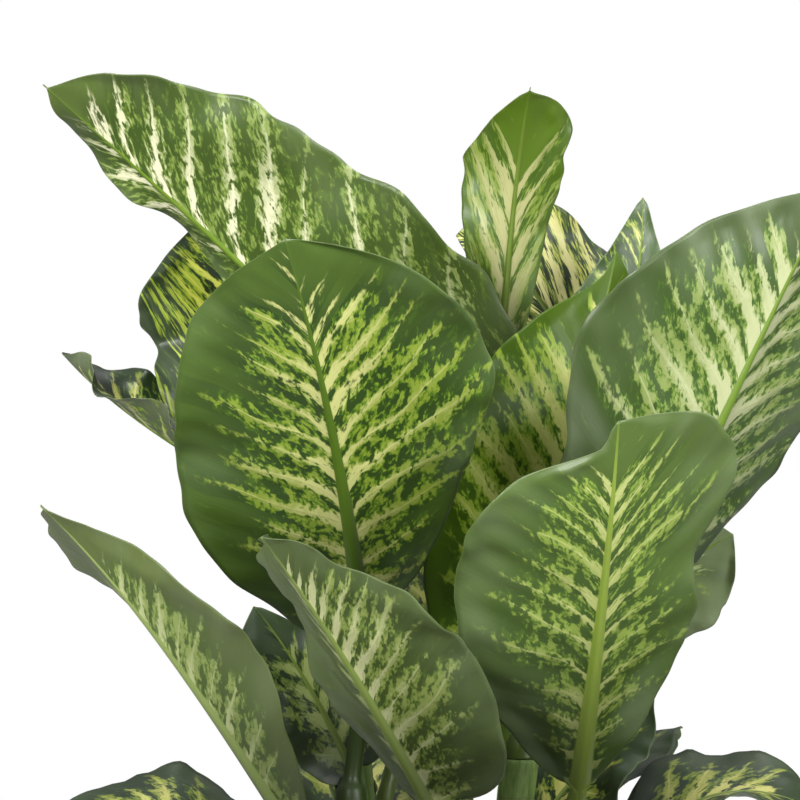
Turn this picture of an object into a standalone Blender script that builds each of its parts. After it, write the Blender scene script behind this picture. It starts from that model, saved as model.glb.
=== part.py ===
"""A potted dieffenbachia.

A plain grower's pot stands on its flat bottom, with the origin at the middle of the bottom. It
holds the soil, four canes stand in holes in the soil, and every leaf clasps a cane with its own
stalk. A leaf is one closed solid: a sheath, a stalk and a waved blade with a raised midrib below.
"""

import bpy
import bmesh
from math import cos, exp, pi, radians, sin
from mathutils import Vector

# All sizes are in millimetres. MM turns them into Blender's metres.
MM = 0.001
GAP = 0.3
UP = Vector((0, 0, 1))

# The pot: a tapered wall, a rim band that stands proud, and a floor raised from the surface
# between a flat pad in the middle and a foot ring
POT_TOP = 165
POT_SIDES = 56
POT_FOOT_RADIUS = 68
POT_BAND_RADIUS = 90
POT_RIM_RADIUS = 96
POT_WALL = 2.2
POT_CORNER = 1.5
RIM_BAND = 18
RIM_ROLL = 3
RIM_DROP = 0.8
FOOT_WIDTH = 5
FLOOR_LIFT = 2
FLOOR_TOP = 5
PAD_RADIUS = 24
DRAIN_HOLES = 8
DRAIN_RADIUS = 5
DRAIN_CIRCLE = 46

# The soil, a little higher in the middle
SOIL_TOP = 150
SOIL_CROWN = 1
SOIL_EDGE_DROP = 5

# The canes, with a scar ring where each old leaf grew
CANE_SIDES = 14
CANE_DEPTH = 45
CANE_RADIUS = 11.5
CANE_TAPER = 1.5
CANE_LEAN = 1.6
CANE_STEPS = 6
SCAR_HEIGHTS = (7, 18)
SCAR_RISE = 0.8
SCAR_HALF = 2

# The leaves: seven points across the upper side, and seven across the lower side
ACROSS = 7
MIDDLE = ACROSS // 2
RING = 2 * ACROSS
BLADE_THICK = 1.2
EDGE_THICK = 0.8
FOLD_EASE = 12
RIB_HALF = 4.8
RIB_HALF_TIP = 1.2
RIB_SHARE_MOST = 0.5
RIB_DEPTH = 4.5
RIB_DEPTH_TIP = 0.3
STALK_RADIUS = 5.0
STALK_OUT = 0.45
STALK_PULL = 0.4
SHEATH_HEIGHT = 18
SHEATH_SPAN = 85
SHEATH_LIP = 1.2
SHEATH_FOOT_THICK = 1.6
SHEATH_TOP_GAP = 1.2
BUD_RADIUS = 9
BUD_HEIGHT = 8

# How a blade's outline swells from the base, how its margin waves, and how far the base lobes,
# the shoulder past the tip and the bumps take effect
ROOT_SWELL = 1.3
ROOT_BLUNT = 0.38
WAVE_SHIFT = 0.37
WAVE_EASE = 1.3
LOBE_REACH = 0.3
SHOULDER_FROM = 0.5
SHOULDER_SPAN = 0.4
BUMP_EASE = 20

# A blade is cut across at these shares of its length, and each cut has seven points
BLADE_CUTS = (0.04, 0.10, 0.17, 0.25, 0.34, 0.43, 0.52, 0.61, 0.70, 0.79, 0.87, 0.94, 1.0)
BACK_BLADE_CUTS = (0.05, 0.14, 0.26, 0.38, 0.50, 0.62, 0.74, 0.86, 0.94, 1.0)
STALK_CUTS = (0.16, 0.42, 0.72, 1.0)

# Each cane: where it leaves the soil, and its top
CANES = {
    "cane_front_left": {"foot": (-32, -20), "top": (-43, -27, 300)},
    "cane_front_right": {"foot": (36, -24), "top": (49, -29, 325)},
    "cane_back_left": {"foot": (-34, 40), "top": (-49, 52, 385)},
    "cane_back_right": {"foot": (40, 36), "top": (58, 54, 390)},
}

# What a leaf has when its entry says nothing else: half widths, where each half is widest, how
# blunt each half is at the tip and at the base, the fold and the curl in degrees, the wave
# (height, count, start), how far the base lobes reach back, how far a shoulder reaches past the
# tip, and single bumps (half, place, reach, out, lift)
PLAIN = {
    "half": (80, 80), "widest": (0.42, 0.42), "full": (2.0, 2.0), "root": (1.0, 1.0),
    "fold": (12, 12), "tipfold": None, "curl": (0, 0), "wave": (4, 2.5, 0.0), "lobe": 14,
    "shoulder": (0, 0), "bumps": (), "top": False, "cuts": BLADE_CUTS,
}

# The leaves. Base, mid and tip are three points of the midrib, and face is where the upper side
# looks. A pair gives the left half first, as seen from below with the tip up. A leaf clasps its
# cane at the height node, on the side that turn gives in degrees. The youngest leaf, marked top,
# ends the cane.
LEAVES = {
    "leaf_front_left": {
        "cane": "cane_front_left", "top": True,
        "base": (-35, -50, 385), "mid": (-50, -140, 496), "tip": (-74, -205, 600),
        "face": (0.05, 0.78, 0.61), "half": (82, 80), "widest": (0.4, 0.67), "full": (2.4, 3.4),
        "root": (0.64, 0.3), "fold": (2, 13), "tipfold": (9, 2), "curl": (-8, -16),
        "wave": (4, 2.5, 0.1), "bumps": ((0, 0.15, 0.12, -3, 0), (0, 0.86, 0.16, 12, 0),
                                         (1, 0.08, 0.1, -10, 0), (1, 0.62, 0.1, 7, 0))},
    "leaf_top_left": {
        "cane": "cane_back_right", "node": 345, "turn": 225,
        "base": (21, 25, 475), "mid": (-108, -5, 598), "tip": (-207, -40, 688),
        "face": (0.5, 0.75, 0.1), "half": (12, 89), "widest": (0.66, 0.25), "full": (2.9, 2.7),
        "root": (0.94, 1.23), "fold": (14, 5), "tipfold": (11, 5), "lobe": 25,
        "wave": (6, 3.5, 0.2),
        "bumps": ((1, 0.96, 0.15, 14, 0), (1, 0.74, 0.09, -6, 0), (1, 0.66, 0.11, 8, 7),
                  (1, 0.46, 0.2, -6, 0), (1, 0.36, 0.1, 12, 0), (0, 0.89, 0.11, 13, 0))},
    "leaf_top_middle": {
        "cane": "cane_back_right", "top": True,
        "base": (38, 35, 520), "mid": (47, 32, 628), "tip": (55, 5, 690),
        "face": (0, 0.9, 0.2), "half": (31, 30), "widest": (0.63, 0.79), "full": (1.0, 1.6),
        "root": (0.23, 0.17), "fold": (15, 15), "curl": (10, 10), "wave": (3, 2, 0),
        "bumps": ((1, 0.72, 0.11, -5, 0),)},
    "leaf_right": {
        "cane": "cane_front_right", "top": True,
        "base": (113, -40, 412), "mid": (160, -80, 521), "tip": (211, -95, 631),
        "face": (-0.2, 0.8, 0.3), "half": (88, 70), "widest": (0.51, 0.41), "full": (1.95, 1.4),
        "root": (0.5, 0.56), "fold": (8, 30), "curl": (-6, 0),
        "bumps": ((0, 0.18, 0.09, 10, 0), (1, 0.18, 0.08, -16, 0))},
    "leaf_front_right": {
        "cane": "cane_front_right", "node": 246, "turn": 320,
        "base": (79, -70, 315), "mid": (87, -165, 422), "tip": (92, -215, 509),
        "face": (0, 0.8, 0.5), "half": (72, 60), "widest": (0.48, 0.8), "full": (3.4, 3.0),
        "root": (0.6, 0.53), "fold": (4, 10), "curl": (-10, -15), "shoulder": (-2, 27),
        "bumps": ((0, 0.9, 0.08, -16, 0), (0, 0.97, 0.19, -15, 0),
                  (1, 0.58, 0.1, -12, 9), (1, 0.88, 0.08, -7, 0))},
    "leaf_front_low": {
        "cane": "cane_front_right", "node": 216, "turn": 252,
        "base": (-2, -95, 309), "mid": (-48, -190, 395), "tip": (-84, -255, 453),
        "face": (0.3, 0.8, 0.6), "half": (35, 60), "widest": (0.74, 0.34), "full": (1.0, 2.4),
        "root": (1, 1.33), "fold": (10, 0), "tipfold": (59, 18),
        "bumps": ((1, 0.72, 0.16, -7, 0), (1, 0.78, 0.09, -10, 0))},
    "leaf_low_left": {
        "cane": "cane_front_left", "node": 215, "turn": 225,
        "base": (-70, -60, 283), "mid": (-142, -115, 394), "tip": (-199, -150, 464),
        "face": (0.7, 0.6, 0.6), "half": (50, 44), "widest": (0.67, 0.48), "full": (2.8, 1.0),
        "root": (0.17, 0.48), "fold": (44, 24), "tipfold": (10, 27)},
    "leaf_middle": {
        "cane": "cane_front_right", "node": 272, "turn": 165,
        "base": (28, -15, 356), "mid": (71, -40, 482), "tip": (101, -30, 600),
        "face": (0.1, 0.9, 0.1), "half": (65, 50), "widest": (0.53, 0.45), "full": (1.27, 2.0),
        "fold": (5, 20), "wave": (5, 2, 0),
        "bumps": ((0, 0.37, 0.09, -8, 0), (0, 0.73, 0.08, 5, 0), (0, 0.97, 0.08, -16, 0))},
    "leaf_back_right_point": {
        "cane": "cane_back_right", "node": 372, "turn": 20,
        "base": (96, 50, 503), "mid": (116, 70, 576), "tip": (122, 80, 635),
        "face": (-0.1, -0.9, 0.1), "half": (15, 36), "widest": (0.51, 0.37), "full": (1.0, 1.0),
        "root": (1.28, 1.14), "fold": (20, 20)},
    "leaf_back_middle": {
        "cane": "cane_back_right", "node": 318, "turn": 60,
        "base": (115, 92, 479), "mid": (67, 108, 573), "tip": (16, 118, 615),
        "face": (0.3, -0.9, 0.3), "half": (48, 45), "widest": (0.51, 0.42), "full": (2.8, 1.2),
        "root": (1.18, 1.29), "fold": (10, 10), "wave": (7, 3, 0)},
    "leaf_back_left": {
        "cane": "cane_back_left", "top": True,
        "base": (-84, 45, 475), "mid": (-101, 52, 559), "tip": (-124, 45, 625),
        "face": (0.1, -0.95, 0.1), "half": (45, 59), "widest": (0.31, 0.48), "full": (1.85, 3.4),
        "root": (1.24, 1), "fold": (10, 10), "wave": (7, 2, 0.25),
        "bumps": ((1, 0.53, 0.09, -10, -4), (1, 0.82, 0.1, 5, 0))},
    "leaf_left_curled": {
        "cane": "cane_back_left", "node": 345, "turn": 165,
        "base": (-102, 83, 470), "mid": (-168, 98, 509), "tip": (-211, 104, 547),
        "face": (0.3, -0.35, 0.9), "half": (25, 25), "widest": (0.37, 0.55), "full": (2.3, 2.8),
        "root": (0.54, 0.9), "fold": (30, 39), "wave": (9, 2.1, 0)},
    "leaf_left_inner": {
        "cane": "cane_front_left", "node": 250, "turn": 100,
        "base": (-44, 24, 314), "mid": (-69, 14, 364), "tip": (-97, 0, 406),
        "face": (0.2, -0.8, 0.4), "half": (35, 30), "widest": (0.28, 0.7), "full": (1.0, 3.2),
        "root": (0.66, 1.3), "fold": (10, 10)},
    "leaf_right_inner": {
        "cane": "cane_back_right", "node": 284, "turn": 350,
        "base": (95, 40, 380), "mid": (134, 48, 420), "tip": (171, 50, 444),
        "face": (-0.3, 0.8, 0.3), "half": (24, 44), "widest": (0.45, 0.72), "full": (2.4, 1.6),
        "root": (0.7, 1.4), "fold": (10, 10), "bumps": ((1, 0.26, 0.12, 5, 0),)},
    "leaf_right_low": {
        "cane": "cane_front_right", "node": 216, "turn": 75,
        "base": (49, -8, 273), "mid": (87, 5, 321), "tip": (125, 15, 372),
        "face": (-0.4, -0.6, 0.5), "half": (36, 26), "widest": (0.45, 0.45), "full": (2.2, 2.2),
        "fold": (10, 10)},
    "leaf_behind_left": {
        "cane": "cane_back_left", "node": 305, "turn": 115,
        "base": (-74, 116, 405), "mid": (-98, 165, 490), "tip": (-106, 222, 562),
        "face": (0.4, -0.8, 0.4), "half": (52, 54), "cuts": BACK_BLADE_CUTS},
    "leaf_behind_middle": {
        "cane": "cane_back_left", "node": 270, "turn": 60,
        "base": (-2, 108, 380), "mid": (16, 172, 470), "tip": (30, 236, 540),
        "face": (0, -0.85, 0.5), "half": (54, 56), "cuts": BACK_BLADE_CUTS},
    "leaf_behind_right": {
        "cane": "cane_back_right", "node": 258, "turn": 80,
        "base": (78, 122, 395), "mid": (104, 190, 480), "tip": (122, 252, 535),
        "face": (-0.3, -0.8, 0.5), "half": (60, 60), "cuts": BACK_BLADE_CUTS},
    "leaf_low_right": {
        "cane": "cane_back_right", "node": 200, "turn": 5,
        "base": (108, 44, 260), "mid": (166, 50, 298), "tip": (226, 54, 282),
        "face": (-0.4, -0.2, 0.9), "half": (50, 54), "cuts": BACK_BLADE_CUTS},
    "leaf_low_back_left": {
        "cane": "cane_back_left", "node": 200, "turn": 200,
        "base": (-98, 24, 250), "mid": (-156, 38, 290), "tip": (-220, 50, 272),
        "face": (0.4, -0.2, 0.9), "half": (54, 54), "cuts": BACK_BLADE_CUTS},
    "leaf_low_back": {
        "cane": "cane_back_left", "node": 232, "turn": 85,
        "base": (-30, 110, 262), "mid": (-38, 172, 304), "tip": (-46, 240, 300),
        "face": (0, -0.4, 0.9), "half": (56, 54), "cuts": BACK_BLADE_CUTS},
    "leaf_low_front_right": {
        "cane": "cane_front_right", "node": 190, "turn": 335,
        "base": (100, -54, 228), "mid": (156, -86, 262), "tip": (218, -116, 246),
        "face": (-0.4, 0.1, 0.9), "half": (54, 52), "cuts": BACK_BLADE_CUTS},
    "leaf_low_front": {
        "cane": "cane_front_left", "node": 188, "turn": 275,
        "base": (-30, -92, 226), "mid": (-36, -152, 262), "tip": (-40, -216, 250),
        "face": (0.1, 0.4, 0.9), "half": (54, 52), "cuts": BACK_BLADE_CUTS},
    "leaf_low_back_right": {
        "cane": "cane_back_right", "node": 231, "turn": 62,
        "base": (78, 104, 284), "mid": (99, 164, 316), "tip": (120, 222, 298),
        "face": (-0.2, -0.4, 0.9), "half": (52, 50), "fold": (6, 4), "cuts": BACK_BLADE_CUTS},
}

# Colour and roughness
FINISHES = {
    "leaf": ((0.10, 0.19, 0.05, 1), 0.45), "cane": ((0.20, 0.28, 0.09, 1), 0.55),
    "soil": ((0.035, 0.024, 0.016, 1), 0.95), "pot": ((0.028, 0.029, 0.030, 1), 0.45),
}


# Small helpers
def material(name, colour, roughness):
    made = bpy.data.materials.new(name)
    made.use_nodes = True
    shader = made.node_tree.nodes["Principled BSDF"]
    shader.inputs["Base Color"].default_value = colour
    shader.inputs["Roughness"].default_value = roughness
    return made


def add_piece(name, mesh, finish, smooth):
    """Put a mesh in the scene as a named piece with its own material."""
    piece = bpy.data.objects.new(name, mesh)
    bpy.context.collection.objects.link(piece)
    colour, roughness = FINISHES[finish]
    mesh.materials.append(material(name, colour, roughness))
    mesh.polygons.foreach_set("use_smooth", [smooth] * len(mesh.polygons))
    return piece


def turned(name, profile, sides, finish):
    """Spin a line of (radius, height) points that starts and ends on the vertical axis."""
    shape = bmesh.new()
    points = [shape.verts.new((r * MM, 0, z * MM)) for r, z in profile]
    line = [shape.edges.new(pair) for pair in zip(points, points[1:])]
    bmesh.ops.spin(shape, geom=points + line, axis=UP, cent=(0, 0, 0), angle=2 * pi, steps=sides)
    bmesh.ops.remove_doubles(shape, verts=shape.verts, dist=0.01 * MM)
    bmesh.ops.recalc_face_normals(shape, faces=shape.faces)
    mesh = bpy.data.meshes.new(name)
    shape.to_mesh(mesh)
    shape.free()
    return add_piece(name, mesh, finish, True)


def cut_holes(piece, places, radius, low, high, sides):
    """Cut an upright round hole at each (x, y) place."""
    for x, y in places:
        tool = turned("tool", [(0, low), (radius, low), (radius, high), (0, high)], sides, "soil")
        tool.location = (x * MM, y * MM, 0)
        step = piece.modifiers.new("hole", "BOOLEAN")
        step.operation = "DIFFERENCE"
        step.solver = "EXACT"
        step.object = tool
        bpy.context.view_layer.objects.active = piece
        bpy.ops.object.modifier_apply(modifier=step.name)
        bpy.data.objects.remove(tool)


# The pot and the soil
def wall_radius(z):
    """Outer radius of the tapered wall at a height."""
    share = z / (POT_TOP - RIM_BAND)
    return POT_FOOT_RADIUS + (POT_BAND_RADIUS - POT_FOOT_RADIUS) * share


def inner_radius(z):
    return wall_radius(z) - POT_WALL


def make_pot():
    band = POT_TOP - RIM_BAND
    inner_foot = inner_radius(0) - 2 * FLOOR_LIFT
    profile = [
        (0, 0), (PAD_RADIUS, 0), (PAD_RADIUS + FLOOR_LIFT, FLOOR_LIFT),
        (POT_FOOT_RADIUS - POT_CORNER - FOOT_WIDTH, FLOOR_LIFT),
        (POT_FOOT_RADIUS - FOOT_WIDTH, 0),
        (POT_FOOT_RADIUS - POT_CORNER, 0), (POT_FOOT_RADIUS, POT_CORNER),
        (wall_radius(band), band), (POT_RIM_RADIUS - RIM_ROLL, band + RIM_ROLL / 3),
        (POT_RIM_RADIUS - POT_CORNER, band + RIM_ROLL),
        (POT_RIM_RADIUS, POT_TOP - RIM_ROLL), (POT_RIM_RADIUS - RIM_ROLL / 3, POT_TOP - RIM_DROP),
        (POT_RIM_RADIUS - RIM_ROLL, POT_TOP), (POT_RIM_RADIUS - 2 * RIM_ROLL, POT_TOP - RIM_DROP),
        (inner_radius(band + RIM_ROLL), band + RIM_ROLL),
        (inner_radius(2 * FLOOR_TOP), 2 * FLOOR_TOP), (inner_foot, FLOOR_TOP), (0, FLOOR_TOP),
    ]
    pot = turned("pot", profile, POT_SIDES, "pot")
    angles = [2 * pi * (k + 0.5) / DRAIN_HOLES for k in range(DRAIN_HOLES)]
    places = [(DRAIN_CIRCLE * cos(a), DRAIN_CIRCLE * sin(a)) for a in angles]
    cut_holes(pot, places, DRAIN_RADIUS, -FLOOR_TOP, 2 * FLOOR_TOP, 12)


def make_soil():
    """The soil fills the pot to just under the rim. Each cane stands in a hole in it."""
    low = FLOOR_TOP + GAP
    side = SOIL_TOP - SOIL_EDGE_DROP
    inner_foot = inner_radius(0) - 2 * FLOOR_LIFT
    profile = [
        (0, low), (inner_foot - 2 * GAP, low),
        (inner_radius(2 * FLOOR_TOP) - 2 * GAP, 2 * FLOOR_TOP),
        (inner_radius(side) - 2 * GAP, side), (0.8 * POT_BAND_RADIUS, SOIL_TOP - SOIL_CROWN),
        (0.4 * POT_BAND_RADIUS, SOIL_TOP), (0, SOIL_TOP + SOIL_CROWN),
    ]
    soil = turned("soil", profile, POT_SIDES, "soil")
    places = [cane["foot"] for cane in CANES.values()]
    hole = CANE_RADIUS + SCAR_RISE + GAP
    cut_holes(soil, places, hole, SOIL_TOP - CANE_DEPTH, SOIL_TOP + CANE_DEPTH, CANE_SIDES)


# The canes
def cane_point(cane, z):
    """The middle of the cane at a height: straight in the soil, then leaning more and more."""
    x0, y0 = cane["foot"]
    x1, y1, top = cane["top"]
    share = max(0, (z - SOIL_TOP) / (top - SOIL_TOP)) ** CANE_LEAN
    return Vector((x0 + (x1 - x0) * share, y0 + (y1 - y0) * share, z))


def cane_radius(cane, z):
    top = cane["top"][2]
    return CANE_RADIUS - CANE_TAPER * max(0, (z - SOIL_TOP) / (top - SOIL_TOP))


def make_cane(name, cane):
    """Level rings of points, a little wider at the scars."""
    top = cane["top"][2]
    levels = [(SOIL_TOP - CANE_DEPTH + GAP, 0)]
    for scar in SCAR_HEIGHTS:
        middle = SOIL_TOP + scar
        levels += [(middle - SCAR_HALF, 0), (middle, SCAR_RISE), (middle + SCAR_HALF, 0)]
    bare = levels[-1][0]
    levels += [(bare + (top - bare) * (k + 1) / CANE_STEPS, 0) for k in range(CANE_STEPS)]
    points, faces = [], []
    for z, rise in levels:
        radius = cane_radius(cane, z) + rise
        for k in range(CANE_SIDES):
            a = 2 * pi * k / CANE_SIDES
            points.append(cane_point(cane, z) + radius * Vector((cos(a), sin(a), 0)))
    for i in range(len(levels) - 1):
        for k in range(CANE_SIDES):
            here, there = i * CANE_SIDES + k, i * CANE_SIDES + (k + 1) % CANE_SIDES
            faces.append((here, there, there + CANE_SIDES))
            faces.append((here, there + CANE_SIDES, here + CANE_SIDES))
    faces.append(tuple(reversed(range(CANE_SIDES))))
    faces.append(tuple(range(len(points) - CANE_SIDES, len(points))))
    mesh = bpy.data.meshes.new(name)
    mesh.from_pydata([p * MM for p in points], [], faces)
    add_piece(name, mesh, "cane", True)


# The blade of a leaf
def outline(s, widest, full, root):
    """Share of the half width at a share of the length."""
    if s < widest:
        near = s / widest
        return (1 - (1 - near) ** (1 + ROOT_SWELL * root)) ** (1 - ROOT_BLUNT * root)
    return 1 - ((s - widest) / (1 - widest)) ** full


def rib_half(s):
    """Half the width of the midrib, which thins towards the tip."""
    return RIB_HALF_TIP + (RIB_HALF - RIB_HALF_TIP) * (1 - s) ** 0.8


def rib_depth(s):
    return RIB_DEPTH_TIP + (RIB_DEPTH - RIB_DEPTH_TIP) * (1 - s) ** 0.9


def half_width(leaf, side, s):
    shape = outline(s, leaf["widest"][side], leaf["full"][side], leaf["root"][side])
    width = leaf["half"][side] * shape
    for on, at, reach, out, _ in leaf["bumps"]:
        if on == side:
            width += out * exp(-((s - at) / reach) ** 2) * min(1, width / BUMP_EASE)
    return width + rib_half(s)


def midrib(leaf, s):
    """Its point, the way it runs, the way the upper side looks and the way to the left half."""
    base, mid, tip = (Vector(leaf[k]) for k in ("base", "mid", "tip"))
    pull = 2 * mid - 0.5 * (base + tip)
    point = (1 - s) ** 2 * base + 2 * s * (1 - s) * pull + s ** 2 * tip
    along = (2 * (1 - s) * (pull - base) + 2 * s * (tip - pull)).normalized()
    face = Vector(leaf["face"])
    up = (face - face.dot(along) * along).normalized()
    return point, along, up, along.cross(up)


def wave_height(leaf, side, s, width):
    """How far the margin stands out of the blade, from the even wave and the single bumps."""
    height, count, start = leaf["wave"]
    wave = height * sin(2 * pi * (count * s + start + WAVE_SHIFT * side))
    wave *= min(1, WAVE_EASE * width / leaf["half"][side])
    for on, at, reach, _, lift in leaf["bumps"]:
        if on == side:
            wave += lift * exp(-((s - at) / reach) ** 2)
    return wave


def blade_point(leaf, s, t):
    """A point of the blade's middle surface, t from -1 to 1 across, and its upward normal."""
    side = 0 if t >= 0 else 1
    sign = 1 - 2 * side
    point, along, up, left = midrib(leaf, s)
    half = leaf["half"][side]
    width = half_width(leaf, side, s)
    out_share = abs(t)
    fold_from = leaf["fold"][side]
    fold_to = (leaf["tipfold"] or leaf["fold"])[side]
    fold = radians(fold_from + (fold_to - fold_from) * s) * min(1, width / FOLD_EASE)
    curl = radians(leaf["curl"][side])
    lean = fold + curl * out_share * width / half
    if curl:
        out = half / curl * (sin(lean) - sin(fold))
        rise = half / curl * (cos(fold) - cos(lean))
    else:
        out = out_share * width * cos(fold)
        rise = out_share * width * sin(fold)
    normal = cos(lean) * up - sin(lean) * sign * left
    wave = wave_height(leaf, side, s, width) * out_share ** 2
    ahead = leaf["shoulder"][side] * min(1, max(0, (s - SHOULDER_FROM) / SHOULDER_SPAN))
    ahead -= leaf["lobe"] * max(0, 1 - s / LOBE_REACH) ** 1.5
    ahead *= out_share ** 1.5 * min(1, width / half)
    return point + sign * out * left + rise * up + wave * normal + ahead * along, normal


def blade_ring(leaf, s):
    """The upper side's points from right to left, and the lower side's with the rib's ridge."""
    upper, lower = [], []
    for i in range(ACROSS):
        side = 0 if i >= MIDDLE else 1
        edge = min(RIB_SHARE_MOST, rib_half(s) / half_width(leaf, side, s))
        t = (0, edge, (edge + 1) / 2, 1)[abs(i - MIDDLE)] * (1 if i > MIDDLE else -1)
        point, normal = blade_point(leaf, s, t)
        thick = EDGE_THICK + (BLADE_THICK - EDGE_THICK) * (1 - abs(t))
        drop = rib_depth(s) if i == MIDDLE else 0
        upper.append(point + normal * thick / 2)
        lower.append(point - normal * (thick / 2 + drop))
    return upper, lower


# The stalk and the sheath of a leaf
def round_ring(middle, up, left, radius):
    """A ring round the stalk, its first half on the upper side, from right to left."""
    points = []
    for k in range(RING):
        a = pi * (1 - (k + 0.5) / ACROSS)
        points.append(middle + radius * (cos(a) * left + sin(a) * up))
    return points[:ACROSS], points[:ACROSS - 1:-1]


def sheath_ring(cane, z, turn, thick, gap):
    """A half ring that clasps the cane, thickest in the middle."""
    inner = (cane_radius(cane, z) + gap) / cos(radians(SHEATH_SPAN / (ACROSS - 1)))
    upper, lower = [], []
    for i in range(ACROSS):
        t = (i - MIDDLE) / MIDDLE
        a = radians(turn - SHEATH_SPAN * t)
        way = Vector((cos(a), sin(a), 0))
        outer = inner + SHEATH_LIP + (thick - SHEATH_LIP) * (1 - t * t)
        upper.append(cane_point(cane, z) + inner * way)
        lower.append(cane_point(cane, z) + outer * way)
    return upper, lower


def stalk_path(leaf, cane):
    """Four points of the curve from the cane to the blade, and the upper side at its ends."""
    base, along, up, _ = midrib(leaf, 0)
    if leaf["top"]:
        start = cane_point(cane, cane["top"][2] + GAP)
        start_up = up - up.dot(UP) * UP
        leave = UP
    else:
        a = radians(leaf["turn"])
        way = Vector((cos(a), sin(a), 0))
        middle = cane_point(cane, leaf["node"] + STALK_RADIUS)
        start = middle + way * (cane_radius(cane, leaf["node"]) + STALK_RADIUS + 2 * SHEATH_LIP + 1)
        start_up = -way
        leave = (UP + STALK_OUT * way).normalized()
    reach = STALK_PULL * (base - start).length
    return start, start + leave * reach, base - along * reach, base, start_up.normalized(), up


def stalk_ring(path, u):
    start, first, second, base, start_up, up = path
    point = ((1 - u) ** 3 * start + 3 * u * (1 - u) ** 2 * first + 3 * u * u * (1 - u) * second
             + u ** 3 * base)
    along = ((1 - u) ** 2 * (first - start) + 2 * u * (1 - u) * (second - first)
             + u * u * (base - second)).normalized()
    look = start_up * (1 - u) + up * u
    look = (look - look.dot(along) * along).normalized()
    return round_ring(point, look, along.cross(look), STALK_RADIUS)


def leaf_rings(leaf):
    """All the rings of a leaf, from the cane to the tip."""
    cane = CANES[leaf["cane"]]
    path = stalk_path(leaf, cane)
    if leaf["top"]:
        start, look = path[0], path[4]
        left = UP.cross(look)
        rings = [round_ring(start, look, left, BUD_RADIUS),
                 round_ring(start + BUD_HEIGHT * UP, look, left, BUD_RADIUS - 1)]
    else:
        z, turn = leaf["node"], leaf["turn"]
        rings = [sheath_ring(cane, z - SHEATH_HEIGHT, turn, SHEATH_FOOT_THICK, GAP),
                 sheath_ring(cane, z, turn, STALK_RADIUS, SHEATH_TOP_GAP)]
    rings += [stalk_ring(path, u) for u in STALK_CUTS]
    rings += [blade_ring(leaf, s) for s in leaf["cuts"]]
    return rings


def make_leaf(name, entry):
    """Join the rings. Each four-sided patch is split alike on the upper and the lower side."""
    rings = leaf_rings({**PLAIN, **entry})
    points = [point for upper, lower in rings for point in upper + lower]
    faces = []
    for a in range(0, len(points) - RING, RING):
        b = a + RING
        for i in range(ACROSS - 1):
            faces += [(a + i, a + i + 1, b + i + 1), (a + i, b + i + 1, b + i)]
            c, d = a + ACROSS + i, b + ACROSS + i
            faces += [(c, d + 1, c + 1), (c, d, d + 1)]
        right, left = a + ACROSS - 1, a
        faces += [(right, right + ACROSS, right + RING + ACROSS)]
        faces += [(right, right + RING + ACROSS, right + RING)]
        faces += [(left, left + RING + ACROSS, left + ACROSS)]
        faces += [(left, left + RING, left + RING + ACROSS)]
    last = len(points) - RING
    for i in range(ACROSS - 1):
        j = last + i
        faces += [(i, i + ACROSS + 1, i + 1), (i, i + ACROSS, i + ACROSS + 1)]
        faces += [(j, j + 1, j + ACROSS + 1), (j, j + ACROSS + 1, j + ACROSS)]
    mesh = bpy.data.meshes.new(name)
    mesh.from_pydata([p * MM for p in points], [], faces)
    add_piece(name, mesh, "leaf", False)


def main():
    for old in list(bpy.data.objects):
        bpy.data.objects.remove(old)
    make_pot()
    make_soil()
    for name, cane in CANES.items():
        make_cane(name, cane)
    for name, entry in LEAVES.items():
        make_leaf(name, entry)


main()
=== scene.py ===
# %% [markdown]
# # A potted dieffenbachia
# A dieffenbachia, or dumb cane, is grown for its big patterned leaves: a dark green margin, a pale
# midrib, and cream streaks that follow the side veins. The solids of the plant are ready made. This
# lesson loads them and gives them the fine form and the finish of the living plant.

# %% Load the solids
import bpy
import numpy as np
from math import cos, pi, radians, sin
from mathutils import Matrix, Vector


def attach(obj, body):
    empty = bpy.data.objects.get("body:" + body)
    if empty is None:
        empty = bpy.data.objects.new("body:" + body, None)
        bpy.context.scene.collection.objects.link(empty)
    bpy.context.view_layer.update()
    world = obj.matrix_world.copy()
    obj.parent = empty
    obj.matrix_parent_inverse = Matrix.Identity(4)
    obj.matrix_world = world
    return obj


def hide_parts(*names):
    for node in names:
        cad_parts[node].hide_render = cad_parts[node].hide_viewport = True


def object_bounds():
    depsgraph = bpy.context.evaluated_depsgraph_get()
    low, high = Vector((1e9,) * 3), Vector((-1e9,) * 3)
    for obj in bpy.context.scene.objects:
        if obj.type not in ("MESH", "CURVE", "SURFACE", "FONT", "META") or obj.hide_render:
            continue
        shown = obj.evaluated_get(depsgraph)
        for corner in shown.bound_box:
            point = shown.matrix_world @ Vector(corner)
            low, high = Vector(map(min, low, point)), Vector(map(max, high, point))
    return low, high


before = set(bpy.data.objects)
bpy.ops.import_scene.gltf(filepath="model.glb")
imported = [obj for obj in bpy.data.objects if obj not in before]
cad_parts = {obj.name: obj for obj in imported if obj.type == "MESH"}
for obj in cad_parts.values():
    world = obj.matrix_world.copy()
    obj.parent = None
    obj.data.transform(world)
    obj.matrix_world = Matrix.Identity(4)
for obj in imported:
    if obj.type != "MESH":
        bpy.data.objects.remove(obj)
solid_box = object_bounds()
print("solids:", len(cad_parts), "height:", round(solid_box[1].z, 3), "m")

# %% [markdown]
# ## Looking at the plant
# The camera stands level with the middle of the leaves, a little over two metres away, as in a
# studio. A long lens keeps the leaves from looking stretched. The angle comes from the width that
# the picture should take in at the plant, so it can be worked out and not guessed.

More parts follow.
